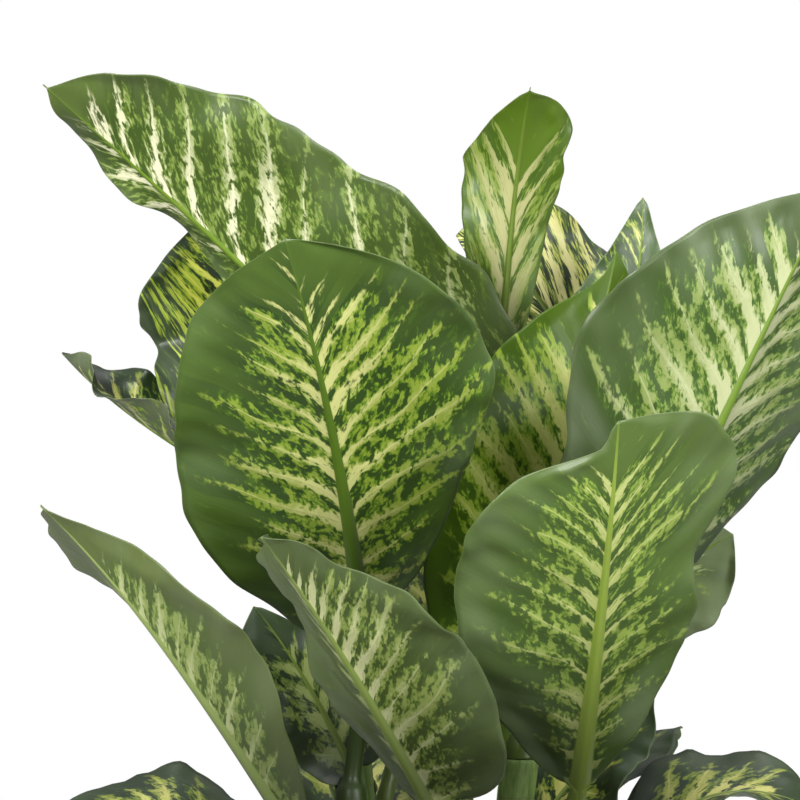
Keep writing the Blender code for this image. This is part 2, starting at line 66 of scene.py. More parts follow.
# %% Camera
VIEW_PLACE = (-0.0165, -2.2, 0.5196)
VIEW_WIDTH = 0.44
lens = bpy.data.cameras.new("camera")
lens.angle = 2 * np.arctan(VIEW_WIDTH / 2 / -VIEW_PLACE[1])
camera = bpy.data.objects.new("camera", lens)
camera.location = VIEW_PLACE
camera.rotation_euler = (radians(90), 0, 0)
bpy.context.scene.collection.objects.link(camera)
bpy.context.scene.camera = camera
bpy.context.scene.view_settings.view_transform = "Standard"
print("angle of view:", round(np.degrees(lens.angle), 2), "degrees")

# %% [markdown]
# ## Studio light
# Leaves look best in broad light: a small lamp would put hard spots on the wax of the leaf. Three
# large panels do it. The main one hangs high on the left, a weaker one fills from the right, and one
# above lights the tops. A grid on each of the front two keeps its light on the plant.

# %% Panels of light
def add_panel(name, place, target, size, power, spread=180):
    """A square panel of light that faces a target. A grid on the panel narrows its spread."""
    light = bpy.data.lights.new(name, "AREA")
    light.shape = "SQUARE"
    light.size = size
    light.energy = power
    light.spread = radians(spread)
    panel = bpy.data.objects.new(name, light)
    panel.location = place
    way = np.array(target) - np.array(place)
    panel.rotation_euler = (
        np.arctan2(np.hypot(way[0], way[1]), -way[2]), 0, np.arctan2(way[1], way[0]) - pi / 2)
    bpy.context.scene.collection.objects.link(panel)


PLANT_MIDDLE = (0, 0, 0.45)
PLANT_TOP = (0, 0, 0.72)
add_panel("main_panel", (-0.8, -1.5, 1.2), PLANT_TOP, 0.9, 3.65, 32)
add_panel("fill_panel", (1.2, -1.3, 1.0), PLANT_TOP, 0.9, 4.5, 60)
add_panel("top_panel", (0.1, 0.4, 1.9), PLANT_MIDDLE, 1.2, 10)
print("panels of light:", len(bpy.data.lights))

# %% [markdown]
# The plant stands on a wide pale floor in white surroundings. Seen by the camera they should be
# nearly white, but that much light from every side would take the shadows out of the leaves. So the
# path of the light tells them apart: the leaves get weaker light than the camera sees, and less of
# it from low down than from above.

# %% Floor and white surroundings
SURROUND_SEEN, SURROUND_FELT = (1, 1, 1, 1), (0.97, 0.99, 1, 1)
SURROUND_LOW, SURROUND_HIGH = 0.08, 0.62
world = bpy.data.worlds.new("surroundings")
bpy.context.scene.world = world
world.use_nodes = True
nodes, links = world.node_tree.nodes, world.node_tree.links
nodes.clear()
seen = nodes.new("ShaderNodeBackground")
seen.inputs["Color"].default_value = SURROUND_SEEN
felt = nodes.new("ShaderNodeBackground")
felt.inputs["Color"].default_value = SURROUND_FELT
way_seen = nodes.new("ShaderNodeTexCoord")
split_way = nodes.new("ShaderNodeSeparateXYZ")
by_height = nodes.new("ShaderNodeMapRange")
by_height.inputs["To Min"].default_value = SURROUND_LOW
by_height.inputs["To Max"].default_value = SURROUND_HIGH
links.new(way_seen.outputs["Generated"], split_way.inputs[0])
links.new(split_way.outputs["Z"], by_height.inputs["Value"])
links.new(by_height.outputs["Result"], felt.inputs["Strength"])
path = nodes.new("ShaderNodeLightPath")
either = nodes.new("ShaderNodeMixShader")
output = nodes.new("ShaderNodeOutputWorld")
links.new(path.outputs["Is Camera Ray"], either.inputs["Fac"])
links.new(felt.outputs["Background"], either.inputs[1])
links.new(seen.outputs["Background"], either.inputs[2])
links.new(either.outputs["Shader"], output.inputs["Surface"])

FLOOR_RADIUS, FLOOR_SIDES = 2.8, 96
FLOOR_TINT, FLOOR_GLOW_SEEN = (0.68, 0.68, 0.67, 1), (0.3, 0.3, 0.3, 1)
bpy.ops.mesh.primitive_circle_add(vertices=FLOOR_SIDES, radius=FLOOR_RADIUS, fill_type="NGON")
floor = bpy.context.object
floor.name = "floor"
floor_paint = bpy.data.materials.new("floor")
floor_paint.use_nodes = True
paper = floor_paint.node_tree.nodes["Principled BSDF"]
paper.inputs["Base Color"].default_value = FLOOR_TINT
paper.inputs["Roughness"].default_value = 0.8
paper.inputs["Specular IOR Level"].default_value = 0.1
paper.inputs["Emission Color"].default_value = FLOOR_GLOW_SEEN
path = floor_paint.node_tree.nodes.new("ShaderNodeLightPath")
floor_paint.node_tree.links.new(path.outputs["Is Camera Ray"], paper.inputs["Emission Strength"])
floor.data.materials.append(floor_paint)
print("floor:", 2 * FLOOR_RADIUS, "m across")

# %% [markdown]
# ## The form of a leaf
# Every leaf is one long surface: a sheath that clasps the cane, a round stalk, and a blade that
# widens, folds along its midrib, curls and waves. A modeller could push a grid into shape by hand.
# Here a few numbers say how each leaf lies, and a formula turns them into points, because then the
# same numbers can be read at any fineness. These are the numbers that the solids were made from.

# %% Canes and leaves
MM = 0.001
GAP = 0.3
POT_TOP, SOIL_TOP = 165, 150
CANE_RADIUS, CANE_TAPER, CANE_LEAN, CANE_DEPTH = 11.5, 1.5, 1.6, 45
CANES = {
    "cane_front_left": {"foot": (-32, -20), "top": (-43, -27, 300)},
    "cane_front_right": {"foot": (36, -24), "top": (49, -29, 325)},
    "cane_back_left": {"foot": (-34, 40), "top": (-49, 52, 385)},
    "cane_back_right": {"foot": (40, 36), "top": (58, 54, 390)},
}
PLAIN = {
    "half": (80, 80), "widest": (0.42, 0.42), "full": (2.0, 2.0), "root": (1.0, 1.0),
    "fold": (12, 12), "tipfold": None, "curl": (0, 0), "wave": (4, 2.5, 0.0), "lobe": 14,
    "shoulder": (0, 0), "bumps": (), "top": False, "fine": True,
}
LEAVES = {
    "leaf_front_left": {
        "cane": "cane_front_left", "top": True,
        "base": (-35, -50, 385), "mid": (-50, -140, 496), "tip": (-74, -205, 600),
        "face": (0.05, 0.78, 0.61), "half": (82, 80), "widest": (0.4, 0.67), "full": (2.4, 3.4),
        "root": (0.64, 0.3), "fold": (2, 13), "tipfold": (9, 2), "curl": (-8, -16),
        "wave": (4, 2.5, 0.1), "bumps": ((0, 0.15, 0.12, -3, 0), (0, 0.86, 0.16, 12, 0),
                                         (1, 0.08, 0.1, -10, 0), (1, 0.62, 0.1, 7, 0))},
    "leaf_top_left": {
        "cane": "cane_back_right", "node": 345, "turn": 225,
        "base": (21, 25, 475), "mid": (-108, -5, 598), "tip": (-207, -40, 688),
        "face": (0.5, 0.75, 0.1), "half": (12, 89), "widest": (0.66, 0.25), "full": (2.9, 2.7),
        "root": (0.94, 1.23), "fold": (14, 5), "tipfold": (11, 5), "lobe": 25,
        "wave": (6, 3.5, 0.2),
        "bumps": ((1, 0.96, 0.15, 14, 0), (1, 0.74, 0.09, -6, 0), (1, 0.66, 0.11, 8, 7),
                  (1, 0.46, 0.2, -6, 0), (1, 0.36, 0.1, 12, 0), (0, 0.89, 0.11, 13, 0))},
    "leaf_top_middle": {
        "cane": "cane_back_right", "top": True,
        "base": (38, 35, 520), "mid": (47, 32, 628), "tip": (55, 5, 690),
        "face": (0, 0.9, 0.2), "half": (31, 30), "widest": (0.63, 0.79), "full": (1.0, 1.6),
        "root": (0.23, 0.17), "fold": (15, 15), "curl": (10, 10), "wave": (3, 2, 0),
        "bumps": ((1, 0.72, 0.11, -5, 0),)},
    "leaf_right": {
        "cane": "cane_front_right", "top": True,
        "base": (113, -40, 412), "mid": (160, -80, 521), "tip": (211, -95, 631),
        "face": (-0.2, 0.8, 0.3), "half": (88, 70), "widest": (0.51, 0.41), "full": (1.95, 1.4),
        "root": (0.5, 0.56), "fold": (8, 30), "curl": (-6, 0),
        "bumps": ((0, 0.18, 0.09, 10, 0), (1, 0.18, 0.08, -16, 0))},
    "leaf_front_right": {
        "cane": "cane_front_right", "node": 246, "turn": 320,
        "base": (79, -70, 315), "mid": (87, -165, 422), "tip": (92, -215, 509),
        "face": (0, 0.8, 0.5), "half": (72, 60), "widest": (0.48, 0.8), "full": (3.4, 3.0),
        "root": (0.6, 0.53), "fold": (4, 10), "curl": (-10, -15), "shoulder": (-2, 27),
        "bumps": ((0, 0.9, 0.08, -16, 0), (0, 0.97, 0.19, -15, 0),
                  (1, 0.58, 0.1, -12, 9), (1, 0.88, 0.08, -7, 0))},
    "leaf_front_low": {
        "cane": "cane_front_right", "node": 216, "turn": 252,
        "base": (-2, -95, 309), "mid": (-48, -190, 395), "tip": (-84, -255, 453),
        "face": (0.3, 0.8, 0.6), "half": (35, 60), "widest": (0.74, 0.34), "full": (1.0, 2.4),
        "root": (1, 1.33), "fold": (10, 0), "tipfold": (59, 18),
        "bumps": ((1, 0.72, 0.16, -7, 0), (1, 0.78, 0.09, -10, 0))},
    "leaf_low_left": {
        "cane": "cane_front_left", "node": 215, "turn": 225,
        "base": (-70, -60, 283), "mid": (-142, -115, 394), "tip": (-199, -150, 464),
        "face": (0.7, 0.6, 0.6), "half": (50, 44), "widest": (0.67, 0.48), "full": (2.8, 1.0),
        "root": (0.17, 0.48), "fold": (44, 24), "tipfold": (10, 27)},
    "leaf_middle": {
        "cane": "cane_front_right", "node": 272, "turn": 165,
        "base": (28, -15, 356), "mid": (71, -40, 482), "tip": (101, -30, 600),
        "face": (0.1, 0.9, 0.1), "half": (65, 50), "widest": (0.53, 0.45), "full": (1.27, 2.0),
        "fold": (5, 20), "wave": (5, 2, 0),
        "bumps": ((0, 0.37, 0.09, -8, 0), (0, 0.73, 0.08, 5, 0), (0, 0.97, 0.08, -16, 0))},
    "leaf_back_right_point": {
        "cane": "cane_back_right", "node": 372, "turn": 20,
        "base": (96, 50, 503), "mid": (116, 70, 576), "tip": (122, 80, 635),
        "face": (-0.1, -0.9, 0.1), "half": (15, 36), "widest": (0.51, 0.37), "full": (1.0, 1.0),
        "root": (1.28, 1.14), "fold": (20, 20)},
    "leaf_back_middle": {
        "cane": "cane_back_right", "node": 318, "turn": 60,
        "base": (115, 92, 479), "mid": (67, 108, 573), "tip": (16, 118, 615),
        "face": (0.3, -0.9, 0.3), "half": (48, 45), "widest": (0.51, 0.42), "full": (2.8, 1.2),
        "root": (1.18, 1.29), "fold": (10, 10), "wave": (7, 3, 0)},
    "leaf_back_left": {
        "cane": "cane_back_left", "top": True,
        "base": (-84, 45, 475), "mid": (-101, 52, 559), "tip": (-124, 45, 625),
        "face": (0.1, -0.95, 0.1), "half": (45, 59), "widest": (0.31, 0.48), "full": (1.85, 3.4),
        "root": (1.24, 1), "fold": (10, 10), "wave": (7, 2, 0.25),
        "bumps": ((1, 0.53, 0.09, -10, -4), (1, 0.82, 0.1, 5, 0))},
    "leaf_left_curled": {
        "cane": "cane_back_left", "node": 345, "turn": 165,
        "base": (-102, 83, 470), "mid": (-168, 98, 509), "tip": (-211, 104, 547),
        "face": (0.3, -0.35, 0.9), "half": (25, 25), "widest": (0.37, 0.55), "full": (2.3, 2.8),
        "root": (0.54, 0.9), "fold": (30, 39), "wave": (9, 2.1, 0)},
    "leaf_left_inner": {
        "cane": "cane_front_left", "node": 250, "turn": 100,
        "base": (-44, 24, 314), "mid": (-69, 14, 364), "tip": (-97, 0, 406),
        "face": (0.2, -0.8, 0.4), "half": (35, 30), "widest": (0.28, 0.7), "full": (1.0, 3.2),
        "root": (0.66, 1.3), "fold": (10, 10)},
    "leaf_right_inner": {
        "cane": "cane_back_right", "node": 284, "turn": 350,
        "base": (95, 40, 380), "mid": (134, 48, 420), "tip": (171, 50, 444),
        "face": (-0.3, 0.8, 0.3), "half": (24, 44), "widest": (0.45, 0.72), "full": (2.4, 1.6),
        "root": (0.7, 1.4), "fold": (10, 10), "bumps": ((1, 0.26, 0.12, 5, 0),)},
    "leaf_right_low": {
        "cane": "cane_front_right", "node": 216, "turn": 75,
        "base": (49, -8, 273), "mid": (87, 5, 321), "tip": (125, 15, 372),
        "face": (-0.4, -0.6, 0.5), "half": (36, 26), "widest": (0.45, 0.45), "full": (2.2, 2.2),
        "fold": (10, 10)},
    "leaf_behind_left": {
        "cane": "cane_back_left", "node": 305, "turn": 115,
        "base": (-74, 116, 405), "mid": (-98, 165, 490), "tip": (-106, 222, 562),
        "face": (0.4, -0.8, 0.4), "half": (52, 54), "fine": False},
    "leaf_behind_middle": {
        "cane": "cane_back_left", "node": 270, "turn": 60,
        "base": (-2, 108, 380), "mid": (16, 172, 470), "tip": (30, 236, 540),
        "face": (0, -0.85, 0.5), "half": (54, 56), "fine": False},
    "leaf_behind_right": {
        "cane": "cane_back_right", "node": 258, "turn": 80,
        "base": (78, 122, 395), "mid": (104, 190, 480), "tip": (122, 252, 535),
        "face": (-0.3, -0.8, 0.5), "half": (60, 60), "fine": False},
    "leaf_low_right": {
        "cane": "cane_back_right", "node": 200, "turn": 5,
        "base": (108, 44, 260), "mid": (166, 50, 298), "tip": (226, 54, 282),
        "face": (-0.4, -0.2, 0.9), "half": (50, 54), "fine": False},
    "leaf_low_back_left": {
        "cane": "cane_back_left", "node": 200, "turn": 200,
        "base": (-98, 24, 250), "mid": (-156, 38, 290), "tip": (-220, 50, 272),
        "face": (0.4, -0.2, 0.9), "half": (54, 54), "fine": False},
    "leaf_low_back": {
        "cane": "cane_back_left", "node": 232, "turn": 85,
        "base": (-30, 110, 262), "mid": (-38, 172, 304), "tip": (-46, 240, 300),
        "face": (0, -0.4, 0.9), "half": (56, 54), "fine": False},
    "leaf_low_front_right": {
        "cane": "cane_front_right", "node": 190, "turn": 335,
        "base": (100, -54, 228), "mid": (156, -86, 262), "tip": (218, -116, 246),
        "face": (-0.4, 0.1, 0.9), "half": (54, 52), "fine": False},
    "leaf_low_front": {
        "cane": "cane_front_left", "node": 188, "turn": 275,
        "base": (-30, -92, 226), "mid": (-36, -152, 262), "tip": (-40, -216, 250),
        "face": (0.1, 0.4, 0.9), "half": (54, 52), "fine": False},
    "leaf_low_back_right": {
        "cane": "cane_back_right", "node": 231, "turn": 62,
        "base": (78, 104, 284), "mid": (99, 164, 316), "tip": (120, 222, 298),
        "face": (-0.2, -0.4, 0.9), "half": (52, 50), "fold": (6, 4), "fine": False},
}
print("canes:", len(CANES), "leaves:", len(LEAVES))

# %% [markdown]
# The outline gives the half width at each share of the length. A dieffenbachia leaf is blunt at the
# stalk and pointed at the tip, and its two halves differ, so each half has its own numbers. Bumps
# push a stretch of the margin in or out, and a fine ruffle runs along all of it. Working on whole
# arrays of places at once keeps 24 leaves quick to make.

# %% Outline and midrib
ROOT_SWELL, ROOT_BLUNT = 1.3, 0.38
RIB_HALF, RIB_HALF_TIP, RIB_DEPTH, RIB_DEPTH_TIP = 4.8, 1.2, 4.5, 0.2
RIDGE_HALF, RIDGE_HALF_TIP, RIDGE_MOST, RIDGE_FULL_AT = 6.8, 0.5, 0.8, 140
POINTED_STRETCH, RIB_LEAST, RIDGE_LEAST = 0.035, 0.25, 0.4
RIB_TAPER, RIB_DEPTH_TAPER, RIDGE_TAPER = 0.8, 1.5, 1.6
BUMP_EASE = 20
RUFFLES = ((1, 6.4, 0, 0.3), (0.6, 10.7, 0.4, 0))
RUFFLE_EASE, RUFFLE_BARE = 30, 0.2


def outline(s, widest, full, root):
    """Share of the half width at a share s of the length."""
    near = np.clip(s / widest, 0, 1)
    far = np.clip((s - widest) / (1 - widest), 0, 1)
    base = (1 - (1 - near) ** (1 + ROOT_SWELL * root)) ** (1 - ROOT_BLUNT * root)
    return np.where(s < widest, base, 1 - far ** full)


def to_go(s):
    """The share of the blade that still lies ahead."""
    return np.clip(1 - s, 0, None)


def rib_half(s):
    """Half the width of the midrib, drawn to a point in the last bit of the blade."""
    tip = np.clip(to_go(s) / POINTED_STRETCH, RIB_LEAST, 1)
    return (RIB_HALF_TIP + (RIB_HALF - RIB_HALF_TIP) * to_go(s) ** RIB_TAPER) * tip


def rib_depth(s):
    return RIB_DEPTH_TIP + (RIB_DEPTH - RIB_DEPTH_TIP) * to_go(s) ** RIB_DEPTH_TAPER


def ridge_half(leaf, s):
    """Half the width of the round ridge that stands out from the under side."""
    share = np.clip(sum(leaf["half"]) / RIDGE_FULL_AT, RIDGE_LEAST, 1)
    return RIDGE_HALF_TIP + (RIDGE_HALF * share - RIDGE_HALF_TIP) * to_go(s) ** RIDGE_TAPER


def half_width(leaf, side, s):
    shape = outline(s, leaf["widest"][side], leaf["full"][side], leaf["root"][side])
    width = leaf["half"][side] * shape
    for on, at, reach, out, _ in leaf["bumps"]:
        if on == side:
            width = width + out * np.exp(-((s - at) / reach) ** 2) * np.minimum(1, width / BUMP_EASE)
    ruffle = sum(height * np.sin(2 * pi * (count * s + start + shift * side))
                 for height, count, start, shift in RUFFLES)
    width = width + leaf["ruffle"] * ruffle * np.clip(width / RUFFLE_EASE - RUFFLE_BARE, 0, 1)
    return width + rib_half(s)


def unit(vectors):
    return vectors / np.linalg.norm(vectors, axis=-1, keepdims=True)


def midrib(leaf, s):
    """Its points, the way it runs, the way the upper side looks and the way to the left half."""
    base, mid, tip = (np.array(leaf[k], float) for k in ("base", "mid", "tip"))
    pull = 2 * mid - 0.5 * (base + tip)
    s = np.asarray(s, float)[..., None]
    point = (1 - s) ** 2 * base + 2 * s * (1 - s) * pull + s ** 2 * tip
    along = unit(2 * (1 - s) * (pull - base) + 2 * s * (tip - pull))
    face = np.array(leaf["face"], float)
    up = unit(face - (along @ face)[..., None] * along)
    return point, along, up, np.cross(along, up)


broadest = max(LEAVES, key=lambda name: sum(LEAVES[name]["half"]))
print("broadest blade:", broadest, sum(LEAVES[broadest]["half"]), "mm across")

# %% [markdown]
# Side veins leave the midrib at a slant, steeper near the tip, and bend towards the tip as they near
# the margin. For each point of the blade the script works out on which vein it lies, as a number
# that grows by one from vein to vein. Both the puckered form and the streaks of colour follow it.
# The same table says how much a leaf puckers, ruffles and ripples, and how far its tip is drawn out.

# %% Side veins
PLAIN_FINE = {"spacing": 16, "slant": ((0.1, 1.8), (0.1, 1.8)), "bend": 0.0025, "pucker": 0.45,
              "ruffle": 0.5, "ripple": 0.9, "spike": 0}
FINE = {
    "leaf_front_left": {"slant": ((0.05, 1.15), (0.1, 1.5)), "pucker": 0.6},
    "leaf_top_left": {"spacing": 28, "slant": ((0.1, 1.2), (0.4, 1.45)), "spike": 4, "ruffle": -1.5},
    "leaf_top_middle": {"spacing": 22, "slant": ((1.2, 0.5), (1.2, 0.5)), "bend": 0.012, "spike": 4},
    "leaf_right": {"spacing": 19, "slant": ((0.3, 1.0), (0.3, 1.0)), "pucker": 1.3},
    "leaf_front_right": {"slant": ((0.0, 1.3), (0.35, 1.6)), "pucker": 0.9},
    "leaf_front_low": {"slant": ((0.3, 2.6), (0.3, 2.6)), "pucker": 0.7},
    "leaf_low_left": {"slant": ((0.5, 1.5), (0.5, 1.5)), "spike": 4},
    "leaf_back_left": {"spacing": 18, "slant": ((0.4, 0.4), (0.4, 0.4)), "bend": 0.034},
    "leaf_back_middle": {"spacing": 26, "slant": ((2.2, 1.0), (2.2, 1.0))},
    "leaf_right_inner": {"ruffle": 0, "ripple": 0.25},
}
VEIN_HUG, VEIN_HUG_WIDTH, VEIN_HALVINGS = 7, 6, 24
LOWEST_START, SLANT_BELOW, SLANT_RISE = -0.3, 1.8, 1.3


def whole_leaf(name):
    """All the numbers of a leaf, with the length of its midrib."""
    leaf = {**PLAIN, **PLAIN_FINE, **FINE.get(name, {}), **LEAVES[name]}
    line = midrib(leaf, np.linspace(0, 1, 40))[0]
    leaf["length"] = np.linalg.norm(np.diff(line, axis=0), axis=1).sum()
    return leaf


def vein_number(leaf, slant, along_mm, out_mm):
    """Which side vein passes a point. Halving a range again and again finds where it starts."""
    length = leaf["length"]
    low = np.full(np.shape(along_mm), LOWEST_START * length)
    high = np.full(np.shape(along_mm), 1.0 * length)
    bend = leaf["bend"] * out_mm ** 2 + VEIN_HUG * (1 - np.exp(-out_mm / VEIN_HUG_WIDTH))
    for _ in range(VEIN_HALVINGS):
        start = (low + high) / 2
        s = start / length
        lean = slant[0] + slant[1] * np.clip(s, 0, 1) ** SLANT_RISE + SLANT_BELOW * np.minimum(s, 0)
        past = start + lean * out_mm + bend > along_mm
        high = np.where(past, start, high)
        low = np.where(past, low, start)
    return (low + high) / 2 / leaf["spacing"]


sample = whole_leaf(broadest)
print("its midrib:", round(sample["length"]), "mm, with a side vein every", sample["spacing"], "mm")

# %% [markdown]
# Between the side veins the blade swells towards its upper side, and the margin ripples. Both are
# real form, so light and outline show them. They are added along the surface's own normal.

# %% Waves, swelling and ripples
WAVE_GAIN, WAVE_SHIFT = 1.3, 0.37
SWELL_FROM, SWELL_EASE, SWELL_EDGE = 5, 12, 10
RIPPLE_COUNTS, RIPPLE_FULL_COUNT, RIPPLE_GAIN, RIPPLE_BARE = (5.3, 8.1, 12.7), 5, 1.2, 0.15
DENT, DENT_COUNTS, DENT_FULL_COUNT = 1.3, ((1.9, 0.7), (3.3, 1.2), (5.1, 0.9)), 1.9


def wave_height(leaf, side, s, width):
    height, count, start = leaf["wave"]
    wave = height * np.sin(2 * pi * (count * s + start + WAVE_SHIFT * side))
    wave = wave * np.minimum(1, WAVE_GAIN * width / leaf["half"][side])
    for on, at, reach, _, lift in leaf["bumps"]:
        if on == side:
            wave = wave + lift * np.exp(-((s - at) / reach) ** 2)
    return wave


def add_relief(wave, leaf, side, rows, t, width, vein, seed):
    """Swelling between the veins, ripples near the margin and shallow dents."""
    open_blade = (np.clip((t * width - SWELL_FROM) / SWELL_EASE, 0, 1)
                  * np.clip((1 - t) * width / SWELL_EDGE, 0, 1))
    wave = wave + leaf["pucker"] * (0.5 - 0.5 * np.cos(2 * pi * vein)) * open_blade
    full = np.clip(width / leaf["half"][side] * RIPPLE_GAIN - RIPPLE_BARE, 0, 1)
    draw = np.random.default_rng(seed + side)
    for count in RIPPLE_COUNTS:
        start = draw.uniform(0, 1)
        ripple = leaf["ripple"] * RIPPLE_FULL_COUNT / count * np.sin(2 * pi * (count * rows + start))
        wave = wave + ripple * t ** 5 * full
    for along_count, out_count in DENT_COUNTS:
        start, turn = draw.uniform(0, 1, 2)
        dent = np.sin(2 * pi * (along_count * rows + start)) * np.sin(2 * pi * (out_count * t + turn))
        wave = wave + DENT * DENT_FULL_COUNT / along_count * dent * open_blade
    return wave


print("ripples along a margin:", RIPPLE_COUNTS, "dents:", DENT_COUNTS)

# %% [markdown]
# One half of the blade starts as a flat strip beside the midrib. The fold tilts it and the curl rolls
# it on an arc, so that its width stays true, as it does when a real leaf bends. The wave then lifts
# it along its normal, and lobe and shoulder push its points back and forth along the leaf.

# %% One half of a blade
FOLD_EASE, SHOULDER_FROM, SHOULDER_OVER, LOBE_TO = 12, 0.5, 0.4, 0.3


def half_blade(leaf, side, s, t, seed):
    """Middle surface and normal of one half, with each point's vein number and distances."""
    sign = 1 - 2 * side
    point, along, up, left = (v[:, None, :] for v in midrib(leaf, s))
    rows = s[:, None]
    half = leaf["half"][side]
    width = half_width(leaf, side, rows)
    fold_from = leaf["fold"][side]
    fold_to = (leaf["tipfold"] or leaf["fold"])[side]
    fold = np.radians(fold_from + (fold_to - fold_from) * rows) * np.minimum(1, width / FOLD_EASE)
    curl = radians(leaf["curl"][side])
    lean = fold + curl * t * width / half
    if curl:
        out = half / curl * (np.sin(lean) - np.sin(fold))
        rise = half / curl * (np.cos(fold) - np.cos(lean))
    else:
        out = t * width * np.cos(fold)
        rise = t * width * np.sin(fold)
    normal = np.cos(lean)[..., None] * up - np.sin(lean)[..., None] * sign * left
    along_mm = rows * leaf["length"] + 0 * t
    vein = vein_number(leaf, leaf["slant"][side], along_mm, t * width) + 0.5 * side
    wave = wave_height(leaf, side, rows, width) * t ** 2
    wave = add_relief(wave, leaf, side, rows, t, width, vein, seed)
    ahead = leaf["shoulder"][side] * np.clip((rows - SHOULDER_FROM) / SHOULDER_OVER, 0, 1)
    ahead = ahead - leaf["lobe"] * np.clip(1 - rows / LOBE_TO, 0, None) ** 1.5
    ahead = ahead * t ** 1.5 * np.minimum(1, width / half)
    place = (point + sign * out[..., None] * left + rise[..., None] * up
             + wave[..., None] * normal + ahead[..., None] * along)
    return place, normal, {"out": t * width, "vein": vein, "edge": (1 - t) * width}


halfway = half_blade(sample, 0, np.array([0.5]), np.linspace(0, 1, 5)[None], 0)[0][0]
print("halfway up, its left margin lies at", halfway[-1].round().tolist(), "mm")

# %% [markdown]
# The two halves meet at the midrib. On the under side the midrib stands out as a thick round ridge,
# on the upper side it is a shallow groove. The blade is closed: an upper row of points, a lower row,
# and a thin margin between them.

# %% Rows of points across the blade
RIB_STEPS, CROWDED_IN = 4, 0.9
BLADE_THICK, EDGE_THICK, THIN_OUT = 1.1, 0.45, 0.6
GROOVE, RIDGE_ROUND = 0.8, 1.2


def blade_rows(leaf, s, steps, seed):
    """Upper and lower rows from right to left, and what each point knows about its place."""
    sides = []
    for side in (1, 0):
        edge = np.minimum(RIDGE_MOST, ridge_half(leaf, s) / half_width(leaf, side, s))[:, None]
        inner = edge * np.arange(RIB_STEPS) / RIB_STEPS
        outer = edge + (1 - edge) * (np.arange(steps + 1) / steps) ** CROWDED_IN
        t = np.concatenate([inner, outer], axis=1)
        place, normal, known = half_blade(leaf, side, s, t, seed)
        known["t"] = t
        known["rib"] = np.clip(t / edge, 0, 2)
        known["s"] = np.broadcast_to(s[:, None], t.shape)
        known["left"] = np.full(t.shape, 1.0 - side)
        sides.append((place, normal, known))
    right, left = sides
    place = np.concatenate([right[0][:, :0:-1], left[0]], axis=1)
    normal = np.concatenate([right[1][:, :0:-1], left[1]], axis=1)
    known = {k: np.concatenate([right[2][k][:, :0:-1], left[2][k]], axis=1) for k in right[2]}
    thick = EDGE_THICK + (BLADE_THICK - EDGE_THICK) * (1 - known["t"]) ** THIN_OUT
    inside_rib = np.clip(known["rib"], 0, 1)
    ridge = (rib_depth(s) * np.minimum(1, ridge_half(leaf, s) / rib_half(s)))[:, None]
    ridge = ridge * np.cos(pi / 2 * inside_rib) ** RIDGE_ROUND
    groove = GROOVE * np.clip(rib_half(s) / RIB_HALF, 0, 1)[:, None] * np.cos(pi / 2 * inside_rib) ** 2
    upper = place + normal * (thick / 2 - groove)[..., None]
    lower = place - normal * (thick / 2 + ridge)[..., None]
    return upper, lower, known


print("points across the midrib:", 2 * RIB_STEPS + 1)

# %% [markdown]
# A leaf grows from a cane, so the line and the thickness of the canes come next. A stalk is round, and a
# sheath is a half ring that clasps the cane. Both are written as closed rings of as many points as
# the blade has, because rings with equal numbers of points are easy to join.

# %% Canes and rings
SHEATH_SPAN, SHEATH_LIP, SHEATH_CLEAR = 85, 1.2, 1.02


def cane_point(cane, z):
    """The middle of the cane: straight in the soil, then leaning more and more."""
    x0, y0 = cane["foot"]
    x1, y1, top = cane["top"]
    share = max(0, (z - SOIL_TOP) / (top - SOIL_TOP)) ** CANE_LEAN
    return np.array((x0 + (x1 - x0) * share, y0 + (y1 - y0) * share, z))


def cane_radius(cane, z):
    return CANE_RADIUS - CANE_TAPER * max(0, (z - SOIL_TOP) / (cane["top"][2] - SOIL_TOP))


def round_ring(middle, up, left, radius, across):
    """A closed ring in two rows, the upper one from right to left, then the lower one."""
    a = pi * (1 - (np.arange(2 * across) + 0.5) / across)[:, None]
    ring = middle + radius * (np.cos(a) * left + np.sin(a) * up)
    return np.concatenate([ring[:across], ring[:across - 1:-1]])


def sheath_ring(cane, z, turn, thick, gap, across):
    """A half ring round the cane, thickest in the middle."""
    t = np.linspace(-1, 1, across)[:, None]
    a = np.radians(turn - SHEATH_SPAN * t)
    way = np.concatenate([np.cos(a), np.sin(a), 0 * a], axis=1)
    inner = (cane_radius(cane, z) + gap) * SHEATH_CLEAR
    outer = inner + SHEATH_LIP + (thick - SHEATH_LIP) * (1 - t * t)
    return np.concatenate([cane_point(cane, z) + inner * way, cane_point(cane, z) + outer * way])


print("thickness of a cane at its foot and top:", 2 * CANE_RADIUS, 2 * (CANE_RADIUS - CANE_TAPER), "mm")

# %% [markdown]
# The stalk is a tube that turns from the cane into the blade. The youngest leaf ends its cane, and
# every other leaf clasps the cane with a half sheath. The rings between those shapes are blended
# along a smooth curve, as a loft in a modelling program would do.

# %% Stalk and sheath
STALK_RADIUS, STALK_OUT, STALK_PULL, STALK_CUTS = 5.0, 0.45, 0.4, (0.16, 0.42, 0.72, 1.0)
SHEATH_HEIGHT, SHEATH_FOOT_THICK, SHEATH_MIDDLE_THICK, SHEATH_TOP_GAP = 18, 1.6, 3.6, 1.2
BUD_RADIUS, BUD_HEIGHT, BUD_TAPER = 9, 8, 1
STALK_CLEAR = 1
UP = np.array((0.0, 0.0, 1.0))


